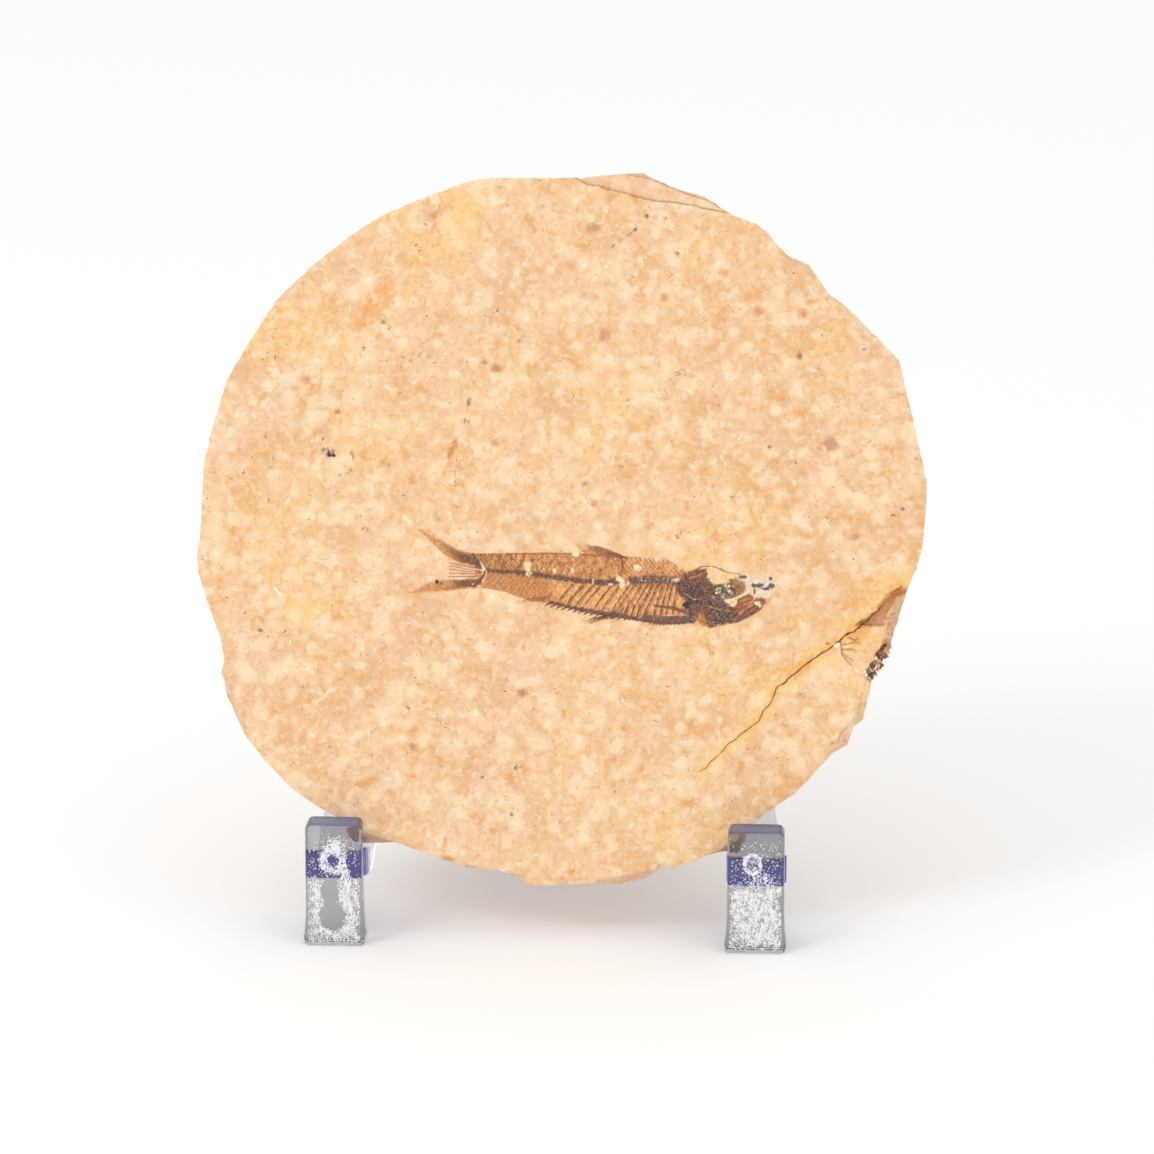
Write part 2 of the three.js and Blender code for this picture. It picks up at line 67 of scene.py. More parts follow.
# The slab's outline as seen square on, clockwise from the upper left, about the slab's middle
RIM = [
    (-13.2, 59.8), (-4, 59.8), (3, 60), (8.1, 60.7), (13.1, 61), (18.2, 58.6), (23.7, 57.1),
    (28.8, 53.8), (32.8, 52.4), (34.8, 50.8), (37.9, 47.2), (41.9, 45.5), (45.4, 40.4),
    (47.5, 39.2), (51, 35.9), (57.6, 29.3), (58.3, 26.3), (60.6, 17.2), (62.6, 8.6), (62.6, 5.1),
    (62.1, -2.2), (61.1, -6.3), (59.3, -10.6), (57.3, -17.4), (56.8, -19.9), (53.8, -25.2),
    (53, -29), (52.3, -32.3), (50.7, -33.5), (49.7, -36.6), (47.2, -38.1), (41.4, -44.6),
    (35.8, -48.7), (30.4, -53.4), (28.3, -55), (24.3, -56.9), (20.2, -58.3), (18.2, -58.1),
    (15.7, -60), (11.1, -61.2), (8.1, -61), (-3.5, -61.7), (-7.8, -59.8), (-10.4, -58.9),
    (-14.1, -59), (-19.4, -57.4), (-28.8, -54.3), (-33.1, -53), (-41.5, -48.5), (-45.7, -45.6),
    (-50.4, -40.9), (-54.6, -35.6), (-57.3, -29.8), (-58.2, -26.1), (-57.6, -24),
    (-58.3, -20.3), (-60.4, -14.6), (-62.4, -8.8), (-62.6, -6.7), (-62, 0.2), (-61.7, 10.2),
    (-60.3, 16.4), (-58, 24.4), (-53.2, 32.7), (-48.8, 39.6), (-45.7, 42.5), (-36.9, 49.6),
    (-32.4, 52.7), (-26.5, 55.4), (-21.5, 57.3), (-16.7, 59.2),
]

# Places on the front face: the crack and its branch, the lost flake, the split laminations
CRACK = [
    (58.4, -9.4), (57.3, -10.5), (55.6, -12.6), (51.8, -16), (50.6, -17), (48.3, -18.7), (45.2, -21.2),
    (42.1, -23), (39.9, -25.1), (37.4, -27.3), (36.5, -29.6), (35.1, -31.1), (34.4, -32.7),
    (32.3, -34.4), (29.2, -37.2), (26.8, -39.6), (24.8, -41.5),
]
CRACK_BRANCH = [(48.3, -19), (48.7, -20.7), (49.5, -21.5), (50.3, -22.1)]
CRACK_VEINS = [
    [(48.6, -19.6), (49.8, -19.3), (51.6, -19.2)], [(48.7, -20.2), (50, -20.4), (51, -20.8)],
    [(48.7, -20.7), (49.2, -22), (50.2, -23)], [(49.6, -18.3), (50.6, -18.8), (51.2, -18.4)],
]
SECOND_HAIRLINE = [(23.7, -47), (22.6, -49.2), (22.1, -51), (21, -53)]
LOST_FLAKE = [
    (50.6, -16.2), (52.8, -14.9), (54.5, -13.5), (55.5, -11.7), (56.9, -10.3), (58.3, -9.9), (61, -9.2),
    (61, -10.2), (57.8, -11.3), (56.7, -13.1), (56, -14.5), (55.5, -16.1), (52.1, -16.4),
]
BROKEN_CORNER = [
    (61, -10.1), (60.4, -15), (58.6, -19), (57, -21), (55.9, -18.9), (55.8, -16.2), (56.7, -13.1),
    (57.7, -11.3),
]
FIRST_LAMINATION = [
    (1.2, 62), (1.2, 60), (3.6, 58.7), (5.7, 58.5), (7.4, 57.9), (9.8, 57.5), (12.2, 56.7),
    (15.1, 56.1), (18.2, 55.9), (21.8, 55.4), (23.6, 54.9), (27.6, 54.2), (30, 56), (22, 62),
]
SECOND_LAMINATION = [
    (8.6, 63), (9.6, 60.9), (11.5, 60.4), (13.8, 60), (16, 59.2), (18.2, 58.4), (20.3, 57.5),
    (22.5, 56.8), (24.8, 56.2), (26.2, 55.1), (29, 56.6), (22, 62),
]
# The layers split off the back, each an outline that runs past the rim, and its depth
BACK_STEPS = [
    ([(-70, -30), (-40, -22), (-18, -38), (4, -34), (22, -48), (30, -70), (-70, -70)], 0.7),
    ([(-70, -46), (-36, -38), (-20, -50), (-6, -46), (6, -70), (-70, -70)], 1.4),
    ([(70, 12), (46, 18), (38, 34), (20, 40), (12, 70), (70, 70)], 0.9),
    ([(70, 30), (54, 32), (44, 46), (30, 52), (28, 70), (70, 70)], 1.7),
    ([(-70, 40), (-50, 30), (-34, 44), (-30, 70), (-70, 70)], 0.8),
]


class Slot(Enum):
    """The record's material slots."""

    LIMESTONE = "limestone"
    FOSSIL_BONE = "fossil_bone"
    CLEAR_ACRYLIC = "clear_acrylic"
    BLUE_EDGED_ACRYLIC = "blue_edged_acrylic"


class Side(Enum):
    """The stand's two sides, as the sign of x."""

    LEFT = -1
    RIGHT = 1


class Part(Enum):
    """What is picked out of a mesh, by the name of the mesh's own list of it."""

    EDGES = "edges"
    FACES = "polygons"


class Tint(Enum):
    """The colours of the stone's marks and of the fish, as red, green and blue from 0 to 255."""

    CREAM = (250, 222, 178)
    WHITE = (255, 244, 226)
    OCHRE = (200, 134, 74)
    PALE = (232, 170, 106)
    TAN = (158, 96, 50)
    BROWN = (122, 70, 42)
    PURPLE = (98, 64, 54)
    MAROON = (104, 60, 46)
    DARK_MAROON = (66, 40, 34)
    AMBER = (216, 142, 70)
    LILAC = (236, 218, 208)
    THREAD = (196, 160, 142)
    GREY_BLACK = (76, 72, 72)
    INK = (34, 30, 30)
    OLIVE = (88, 84, 62)
    RUST = (152, 82, 46)
    TAN_SPOT = (208, 132, 66)
    BROWN_SPOT = (172, 94, 34)
    ORANGE = (232, 164, 88)
    YELLOW = (248, 206, 124)
    PINK = (232, 176, 150)
    BROKEN = (222, 180, 146)


def linear(tint: "Tint | tuple[float, float, float]") -> Values:
    """Turns a colour as seen, from 0 to 255, into light as the shader counts it.

    Args:
        tint: a named tint, or its red, green and blue.

    Returns:
        Red, green and blue from 0 to 1.
    """
    seen = np.array(tint.value if isinstance(tint, Tint) else tint, float) / 255
    return np.where(seen <= 0.04045, seen / 12.92, ((seen + 0.055) / 1.055) ** 2.4)


def smooth(low: float, high: float, value: Values) -> Values:
    """Eases from 0 at low to 1 at high."""
    share = np.clip((value - low) / (high - low), 0, 1)
    return share * share * (3 - 2 * share)


def ripple(u: Values, v: Values, size: float, seed: int) -> Values:
    """Soft seeded unevenness over a face.

    Args:
        u: places across the face.
        v: places up the face.
        size: the width of one wave.
        seed: which unevenness it is.

    Returns:
        A value from -1 to 1 at each place.
    """
    heights = np.random.default_rng(seed).uniform(-1, 1, (RIPPLE_CELLS, RIPPLE_CELLS))
    across, up = u / size, v / size
    column, row = np.floor(across).astype(int), np.floor(up).astype(int)
    right, top = smooth(0, 1, across - column), smooth(0, 1, up - row)
    left, beside = column % RIPPLE_CELLS, (column + 1) % RIPPLE_CELLS
    under, over = row % RIPPLE_CELLS, (row + 1) % RIPPLE_CELLS
    low = heights[left, under] + (heights[beside, under] - heights[left, under]) * right
    high = heights[left, over] + (heights[beside, over] - heights[left, over]) * right
    return low + (high - low) * top


def from_path(u: Values, v: Values, path: list) -> tuple[Values, Values]:
    """How far places are from a path, and how far along it they lie.

    Args:
        u: places across the face.
        v: places up the face.
        path: the path's points.

    Returns:
        The distance in millimetres, and the share of the path from 0 to 1.
    """
    points = np.array(path, float)
    lengths = np.hypot(*np.diff(points, axis=0).T)
    starts = np.concatenate([[0], np.cumsum(lengths)])
    nearest = np.full(u.shape, np.inf)
    along = np.zeros(u.shape)
    for (au, av), (bu, bv), length, start in zip(points[:-1], points[1:], lengths, starts):
        share = ((u - au) * (bu - au) + (v - av) * (bv - av)) / length**2
        share = np.clip(share, 0, 1)
        away = np.hypot(u - au - share * (bu - au), v - av - share * (bv - av))
        closer = away < nearest
        nearest = np.where(closer, away, nearest)
        along = np.where(closer, (start + share * length) / starts[-1], along)
    return nearest, along


def inside_by(u: Values, v: Values, outline: list) -> Values:
    """How far places lie inside an outline, below zero outside it.

    Args:
        u: places across the face.
        v: places up the face.
        outline: the outline's corners.

    Returns:
        The distance to the outline, with its sign.
    """
    closed = [*outline, outline[0]]
    distance, _ = from_path(u, v, closed)
    within = np.zeros(u.shape, bool)
    for (au, av), (bu, bv) in zip(closed[:-1], closed[1:]):
        if av == bv:
            continue
        crosses = (v < av) != (v < bv)
        within ^= crosses & (u < au + (v - av) * (bu - au) / (bv - av))
    return np.where(within, distance, -distance)


def wavering(u: Values, v: Values) -> tuple[Values, Values]:
    """Places shifted a little, so that a line drawn along them runs unevenly."""
    across = 0.22 * ripple(u, v, 1.4, 91) + 0.09 * ripple(u, v, 0.5, 92)
    up = 0.22 * ripple(u, v, 1.4, 93) + 0.09 * ripple(u, v, 0.5, 94)
    return u + across, v + up


def rim_reach(turn: Values) -> Values:
    """The distance from the slab's middle to its outline in each direction.

    Args:
        turn: the directions, in radians.

    Returns:
        The distance in each direction.
    """
    corners = np.array(RIM, float)
    corners = corners[np.argsort(np.arctan2(corners[:, 1], corners[:, 0]))]
    angles = np.arctan2(corners[:, 1], corners[:, 0])
    ahead = np.searchsorted(angles, turn) % len(corners)
    start, end = corners[ahead - 1], corners[ahead]
    cross = start[:, 0] * end[:, 1] - start[:, 1] * end[:, 0]
    side = end - start
    return cross / (np.cos(turn) * side[:, 1] - np.sin(turn) * side[:, 0])


def start_over() -> None:
    """Leaves edit mode and deselects everything."""
    if bpy.context.object and bpy.context.object.mode != "OBJECT":
        bpy.ops.object.mode_set(mode="OBJECT")
    bpy.ops.object.select_all(action="DESELECT")


def active(name: str) -> Piece:
    """Names the primitive that was just added, and returns it.

    Args:
        name: the name.

    Returns:
        The piece.
    """
    piece = bpy.context.object
    piece.name = name
    piece.data.name = name
    return piece


def places_of(piece: Piece) -> Values:
    """A piece's vertices, one row each."""
    places = np.zeros(len(piece.data.vertices) * 3)
    piece.data.vertices.foreach_get("co", places)
    return places.reshape(-1, 3)


def move_places(piece: Piece, places: Values) -> None:
    """Moves a piece's vertices to new places."""
    piece.data.vertices.foreach_set("co", places.ravel())
    piece.data.update()


def face_middles(piece: Piece) -> Values:
    """The middles of a piece's faces, one row each."""
    middles = np.zeros(len(piece.data.polygons) * 3)
    piece.data.polygons.foreach_get("center", middles)
    return middles.reshape(-1, 3)


def edge_ends(piece: Piece) -> Values:
    """The two ends of each edge of a piece, as edge, end and place."""
    ends = np.zeros(len(piece.data.edges) * 2, int)
    piece.data.edges.foreach_get("vertices", ends)
    return places_of(piece)[ends].reshape(-1, 2, 3)


def edit(piece: Piece, part: Part, chosen: Values) -> None:
    """Enters edit mode with only these edges or faces selected.

    Args:
        piece: the object, in object mode.
        part: whether edges or faces are picked.
        chosen: True for each one to select.
    """
    mesh = piece.data
    bpy.context.scene.tool_settings.mesh_select_mode = (False, part is Part.EDGES, part is Part.FACES)
    for every in (mesh.vertices, mesh.edges, mesh.polygons):
        every.foreach_set("select", np.zeros(len(every), bool))
    getattr(mesh, part.value).foreach_set("select", chosen)
    bpy.ops.object.mode_set(mode="EDIT")


def split_up(piece: Piece, part: Part, chosen: Values, cuts: int) -> None:
    """Splits a piece's chosen edges or faces into smaller ones.

    Args:
        piece: the object, in object mode.
        part: whether edges or faces are picked.
        chosen: True for each one to split.
        cuts: how many cuts each edge gets.
    """
    edit(piece, part, chosen)
    bpy.ops.mesh.subdivide(number_cuts=cuts)
    bpy.ops.object.mode_set(mode="OBJECT")


def thicken(rise: float) -> None:
    """Makes closed solids of the faces being edited, this thick, and leaves edit mode.

    Args:
        rise: how far the faces are raised.
    """
    bpy.ops.mesh.extrude_region_move(TRANSFORM_OT_translate={"value": (0, 0, rise)})
    bpy.ops.mesh.select_all(action="SELECT")
    bpy.ops.mesh.normals_make_consistent(inside=False)
    bpy.ops.object.mode_set(mode="OBJECT")


def smooth_over(piece: Piece, degrees: float) -> None:
    """Shades a piece smooth, but for the edges that turn by more than this.

    Args:
        piece: the piece.
        degrees: how far an edge turns at most.
    """
    start_over()
    piece.select_set(True)
    bpy.context.view_layer.objects.active = piece
    bpy.ops.object.shade_smooth_by_angle(angle=math.radians(degrees))


def sheet_of_cells(name: str, cell: float, low: tuple, size: tuple) -> Piece:
    """Adds a flat sheet of even cells.

    Args:
        name: the piece's name.
        cell: about how wide a cell is.
        low: the sheet's lower left corner.
        size: its lengths across and up.

    Returns:
        The sheet.
    """
    start_over()
    columns, rows = (round(length / cell) for length in size)
    bpy.ops.mesh.primitive_grid_add(x_subdivisions=columns, y_subdivisions=rows, size=1)
    sheet = active(name)
    places = places_of(sheet)
    places[:, :2] = (places[:, :2] + 0.5) * size + low
    move_places(sheet, places)
    return sheet


def ring(middle: tuple, size: tuple) -> list:
    """Points once round an oval of these half lengths."""
    turns = np.linspace(0, 6.3, 17)
    return [(middle[0] + size[0] * math.cos(turn), middle[1] + size[1] * math.sin(turn)) for turn in turns]


def finish_piece(piece: Piece, material: Material, nodes: list) -> None:
    """Gives a piece its material and tells the frame what it is.

    Args:
        piece: the finished mesh object.
        material: its finish.
        nodes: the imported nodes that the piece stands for.
    """
    piece.data.materials.clear()
    piece.data.materials.append(material)
    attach(piece, "root")
    if nodes:
        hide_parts(*nodes)
    LOG.info("%s: %d faces", piece.name, len(piece.data.polygons))


@dataclass(frozen=True)
class Cradle:
    """The easel's lean and where the slab stands in it."""

    lean: float = math.radians(17)
    sheet: float = 4.8
    gap: float = 0.3
    ledge_top: float = 16.0
    ledge_length: float = 10.0
    post_spacing: float = 72.0
    slab_above_ledge: float = 55.6
    slab_beside_stand: float = 1.5

    def stand(self) -> Matrix:
        """The stand's own frame: its middle between the posts, their front faces, the table."""
        low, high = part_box("left_post")
        middle = (low.x + high.x) / 2 + self.post_spacing / 2 * MM
        return Matrix.Translation((middle, low.y, 0)) @ Matrix.Scale(MM, 4)

    def leaning(self) -> Matrix:
        """The frame that leans back from the top of the ledges, z out of the stone's face."""
        turned = Matrix.Rotation(math.pi / 2 - self.lean, 4, "X")
        return self.stand() @ Matrix.Translation((0, self.sheet, self.ledge_top)) @ turned

    def slab(self) -> Matrix:
        """The slab's own frame, about its middle."""
        offset = (self.slab_beside_stand, self.slab_above_ledge, FACE - self.ledge_length)
        return self.leaning() @ Matrix.Translation(offset)

    def uprights(self) -> Matrix:
        """The middle plane of the uprights behind the slab."""
        return self.leaning() @ Matrix.Translation((0, 0, -self.ledge_length - self.gap - self.sheet / 2))


class Paint:
    """Colour, cover and height laid on a piece's vertices by dabs, strokes and areas."""

    def __init__(self, places: Values, seed: int) -> None:
        """Starts with bare stone everywhere.

        Args:
            places: the piece's vertices in the slab's frame.
            seed: which set of uneven edges and strengths it is.
        """
        self.u = places[:, 0]
        self.v = places[:, 1]
        self.colour = np.tile(linear(Tint.CREAM), (len(places), 1))
        self.cover = np.zeros(len(places))
        self.height = np.zeros(len(places))
        self.draw = np.random.default_rng(seed)
        self.uneven = ripple(self.u, self.v, 0.55, seed) + 0.6 * ripple(self.u, self.v, 0.24, seed + 1)

    def near(self, points: list, reach: float) -> Values:
        """The numbers of the vertices in the box round some points."""
        low, high = np.min(points, axis=0) - reach, np.max(points, axis=0) + reach
        return np.nonzero((self.u > low[0]) & (self.u < high[0]) & (self.v > low[1]) & (self.v < high[1]))[0]

    def lay(self, chosen: Values, share: Values, tint: Tint, lift: float) -> None:
        """Lays a tint over what is there.

        Args:
            chosen: the vertices' numbers.
            share: how much of the tint each takes, from 0 to 1.
            tint: the colour.
            lift: how far the surface rises under a full share.
        """
        left = (1 - share) * self.cover[chosen]
        cover = share + left
        mix = np.where(cover > 1e-6, share / np.maximum(cover, 1e-6), 0)[:, None]
        self.colour[chosen] = self.colour[chosen] * (1 - mix) + linear(tint) * mix
        self.cover[chosen] = cover
        self.height[chosen] += lift * share

    def area(self, outline: list, tint: Tint, strength: float = 1.0, lift: float = 0.0,
             soft: float = 0.2, ragged: float = 0.12) -> None:
        """Fills an outline.

        Args:
            outline: its corners.
            tint: the colour.
            strength: the share of the tint in the middle.
            lift: how far the surface rises.
            soft: the width of its edge.
            ragged: how far its edge wanders.
        """
        chosen = self.near(outline, soft + 1)
        inward = inside_by(self.u[chosen], self.v[chosen], outline) + ragged * self.uneven[chosen]
        self.lay(chosen, strength * smooth(-soft, soft, inward), tint, lift)

    def dab(self, at: tuple, size: tuple, tint: Tint, strength: float = 1.0, lift: float = 0.0,
            soft: float = 0.3, ragged: float = 0.15, turn: float = 0.0) -> None:
        """Lays an oval spot.

        Args:
            at: its middle.
            size: its half lengths across and up.
            tint: the colour.
            strength: the share of the tint in the middle.
            lift: how far the surface rises.
            soft: the share of its radius that fades.
            ragged: how far its edge wanders, as a share of its radius.
            turn: its turn in degrees.
        """
        chosen = self.near([at], 1.6 * max(size))
        side, up = self.u[chosen] - at[0], self.v[chosen] - at[1]
        cos, sin = math.cos(math.radians(turn)), math.sin(math.radians(turn))
        away = np.hypot((side * cos + up * sin) / size[0], (up * cos - side * sin) / size[1])
        away = away + ragged * self.uneven[chosen]
        self.lay(chosen, strength * (1 - smooth(1 - soft, 1 + soft, away)), tint, lift)

    def stroke(self, path: list, width: float, tint: Tint, strength: float = 1.0, lift: float = 0.0,
               end_width: float | None = None, ragged: float = 0.05, fade: float = 0.0,
               wavy: bool = False) -> None:
        """Draws a line that may taper and fade.

        Args:
            path: its points.
            width: its width at the start.
            tint: the colour.
            strength: the share of the tint in its middle.
            lift: how far the surface rises.
            end_width: its width at the end, as at the start if not given.
            ragged: how far its edge wanders.
            fade: how much of the strength is gone at its end.
            wavy: whether it wavers as a crack does.
        """
        chosen = self.near(path, width + 0.6)
        u, v = self.u[chosen], self.v[chosen]
        away, along = from_path(*(wavering(u, v) if wavy else (u, v)), path)
        last = width if end_width is None else end_width
        half = (width + (last - width) * along) / 2
        away = away + ragged * self.uneven[chosen]
        share = strength * (1 - fade * along) * (1 - smooth(half * 0.45, half * 1.25, away))
        if wavy:
            share *= np.clip(0.8 + 0.5 * ripple(u, v, 0.9, 95), 0, 1)
        self.lay(chosen, share, tint, lift)

    def speckle(self, outline: list, count: int, tint: Tint, size: tuple, strength: float,
                lift: float = 0.0, turn: float = 0.0) -> None:
        """Scatters small dabs inside an outline.

        Args:
            outline: the area's corners.
            count: how many.
            tint: the colour.
            size: the least and greatest half length of a dab.
            strength: the greatest share of the tint.
            lift: how far the surface rises.
            turn: the way that the dabs run, in degrees.
        """
        low, high = np.min(outline, axis=0), np.max(outline, axis=0)
        spots = self.draw.uniform(low, high, (count, 2))
        inward = inside_by(spots[:, 0], spots[:, 1], outline)
        for spot, depth in zip(spots, inward):
            long = self.draw.uniform(*size)
            thin = long * self.draw.uniform(0.35, 0.9)
            lean = turn + self.draw.uniform(-25, 25)
            share = strength * self.draw.uniform(0.4, 1)
            if depth > 0:
                self.dab(tuple(spot), (long, thin), tint, share, lift, 0.5, 0.3, lean)

    def keep_on(self, piece: Piece) -> None:
        """Stores the colour and the cover on the piece, for its material."""
        marks = piece.data.attributes.new("marks", "FLOAT_COLOR", "POINT")
        marks.data.foreach_set("color", np.column_stack([self.colour, self.cover]).ravel())


def rgba(tint: Tint | tuple[float, float, float]) -> tuple[float, float, float, float]:
    """A tint as a shader's colour."""
    return (*linear(tint), 1.0)


class Nodes:
    """Adds and joins shader nodes in one tree."""

    def __init__(self, tree: bpy.types.NodeTree) -> None:
        """Starts from an empty tree."""
        self.tree = tree
        tree.nodes.clear()

    def add(self, kind: str, settings: dict | None = None, **inputs: object) -> bpy.types.Node:
        """Adds a node.

        Args:
            kind: its type, without the common start of the name.
            settings: its properties.
            inputs: a value, or a socket to join, for each input, by name with _ for a space, or by
                number after an i.

        Returns:
            The node.
        """
        node = self.tree.nodes.new("ShaderNode" + kind if not kind.startswith("Node") else kind)
        for name, value in (settings or {}).items():
            setattr(node, name, value)
        for name, value in inputs.items():
            key = int(name[1:]) if name[0] == "i" and name[1:].isdigit() else name.replace("_", " ")
            if isinstance(value, Socket):
                self.tree.links.new(value, node.inputs[key])
            else:
                node.inputs[key].default_value = value
        return node

    def math(self, operation: str, first: object, second: object = 0.0) -> Socket:
        """A Math node's result."""
        return self.add("Math", {"operation": operation}, i0=first, i1=second).outputs[0]

    def times(self, first: object, second: object) -> Socket:
        """Two values multiplied."""
        return self.math("MULTIPLY", first, second)

    def mix(self, share: object, first: object, second: object) -> Socket:
        """Two colours mixed by a share."""
        return self.add("Mix", {"data_type": "RGBA"}, i0=share, i6=first, i7=second).outputs[2]

    def between(self, value: object, low: float, high: float, first: float = 0.0,
                last: float = 1.0) -> Socket:
        """A value eased from one range to another."""
        settings = {"interpolation_type": "SMOOTHSTEP"}
        return self.add("MapRange", settings, i0=value, i1=low, i2=high, i3=first, i4=last).outputs[0]

    def tinted(self, colour: object, *layers: tuple) -> Socket:
        """Lays tints over a colour.

        Args:
            colour: what is underneath.
            layers: for each tint, a value, where the value gives none of it and where the most, the
                greatest share, and the tint.

        Returns:
            The colour on top.
        """
        for value, none, most, share, tint in layers:
            colour = self.mix(self.between(value, none, most, 0.0, share), colour, rgba(tint))
        return colour

    def noise(self, place: object, scale: float, detail: float = 2.0,
              rough: float = 0.5) -> Socket:
        """The strength of a noise texture."""
        return self.add("TexNoise", Vector=place, Scale=scale, Detail=detail, Roughness=rough).outputs["Fac"]

    def on_piece(self) -> Socket:
        """The place on the piece, in metres."""
        return self.add("TexCoord").outputs["Object"]

    def painted(self, name: str) -> bpy.types.Node:
        """Reads an attribute that the piece keeps."""
        return self.add("Attribute", {"attribute_name": name})

    def mapped(self, place: object, **mapping: object) -> Socket:
        """A place moved, turned and scaled."""
        return self.add("Mapping", Vector=place, **mapping).outputs[0]

    def bump(self, height: object, strength: float, depth: float) -> Socket:
        """The way the surface faces once a height roughens it."""
        return self.add("Bump", Strength=strength, Distance=depth, Height=height).outputs["Normal"]

    def surface(self, **inputs: object) -> None:
        """Ends the tree in a Principled shader."""
        shader = self.add("BsdfPrincipled", **inputs)
        self.add("OutputMaterial", Surface=shader.outputs["BSDF"])


def fresh_material(name: str) -> tuple[Material, Nodes]:
    """A new material, and the nodes of its empty tree."""
    material = bpy.data.materials.new(name)
    material.use_nodes = True
    return material, Nodes(material.node_tree)


@dataclass(frozen=True)
class LimestoneGrain:
    """The mottled colour and the fine grain of the limestone, as a node group."""

    base: tuple = (236, 196, 149)
    pale: tuple = (249, 222, 187)
    white: tuple = (255, 243, 222)
    tan: tuple = (222, 168, 110)
    orange: tuple = (227, 160, 90)
    yellow: tuple = (243, 200, 133)
    pink: tuple = (236, 197, 169)
    speck: tuple = (112, 84, 62)
    hair: tuple = (126, 96, 70)
    drift: float = 2.4
    blotches: tuple = ((0.26, 0.7), (0.4, 0.75), (0.62, 0.45))
    dots: tuple = ((0.3, 0.055, 0.9), (0.5, 0.072, 0.7))

    def group(self) -> bpy.types.NodeTree:
        """Builds the group: a place in millimetres in, colour, height and roughness out.

        Returns:
            The node tree.
        """
        tree = bpy.data.node_groups.new("limestone_grain", "ShaderNodeTree")
        for name, way, kind in (("Place", "INPUT", "Vector"), ("Color", "OUTPUT", "Color"),
                                ("Height", "OUTPUT", "Float"), ("Roughness", "OUTPUT", "Float")):
            tree.interface.new_socket(name, in_out=way, socket_type=f"NodeSocket{kind}")
        nodes = Nodes(tree)
        place = nodes.add("NodeGroupInput").outputs["Place"]
        drift = nodes.add("TexNoise", Vector=place, Scale=0.4, Detail=2.0).outputs["Color"]
        drifting = (self.drift, self.drift, self.drift)
        shift = nodes.add("VectorMath", {"operation": "MULTIPLY_ADD"}, i0=drift, i1=drifting, i2=place)
        warped = shift.outputs[0]
        cloud = nodes.noise(warped, 0.12, 4.0)
        wide = nodes.noise(place, 0.05, 2.0)
        patch = nodes.noise(warped, 0.3, 3.0, 0.6)
        fine = nodes.noise(place, 1.1, 6.0, 0.7)
        grit = nodes.noise(place, 5.0, 3.0, 0.6)
        mottle = nodes.noise(warped, 0.75, 4.0, 0.65)
        colour = nodes.tinted(
            rgba(self.base), (wide, 0.5, 0.68, 0.6, self.yellow), (wide, 0.48, 0.32, 0.6, self.pink),
            (cloud, 0.54, 0.34, 0.5, self.tan), (patch, 0.56, 0.72, 0.8, self.orange),
            (fine, 0.5, 0.72, 0.75, self.tan),
        )
        for scale, strength in self.blotches:
            cells = nodes.add("TexVoronoi", {"feature": "SMOOTH_F1"}, Vector=warped, Scale=scale,
                              Smoothness=0.85).outputs
            chosen = nodes.between(cells["Color"], 0.34, 0.66, 0.0, strength)
            blotch = nodes.times(nodes.between(cells["Distance"], 0.6, 0.16), chosen)
            colour = nodes.mix(blotch, colour, rgba(self.pale))
        colour = nodes.tinted(
            colour, (patch, 0.36, 0.22, 0.6, self.white), (fine, 0.46, 0.28, 0.7, self.pale),
            (mottle, 0.54, 0.7, 0.6, self.orange), (mottle, 0.44, 0.3, 0.5, self.white),
            (grit, 0.5, 0.74, 0.45, self.tan),
        )
        for scale, size, strength in self.dots:
            dots = nodes.add("TexVoronoi", {"feature": "F1"}, Vector=warped, Scale=scale).outputs["Distance"]
            colour = nodes.tinted(colour, (dots, size, size * 0.5, strength, self.speck))
        lines = nodes.math("ABSOLUTE", nodes.math("SUBTRACT", nodes.noise(warped, 0.5, 0.0), 0.5))
        where = nodes.between(nodes.noise(place, 0.42, 0.0), 0.66, 0.7)
        hairs = nodes.times(nodes.between(lines, 0.008, 0.002), where)
        colour = nodes.mix(nodes.times(hairs, 0.8), colour, rgba(self.hair))
        height = nodes.math("ADD", nodes.times(fine, 0.6), nodes.times(grit, 0.4))
        rough = nodes.between(fine, 0.3, 0.7, 0.62, 0.85)
        nodes.add("NodeGroupOutput", Color=colour, Height=height, Roughness=rough)
        return tree


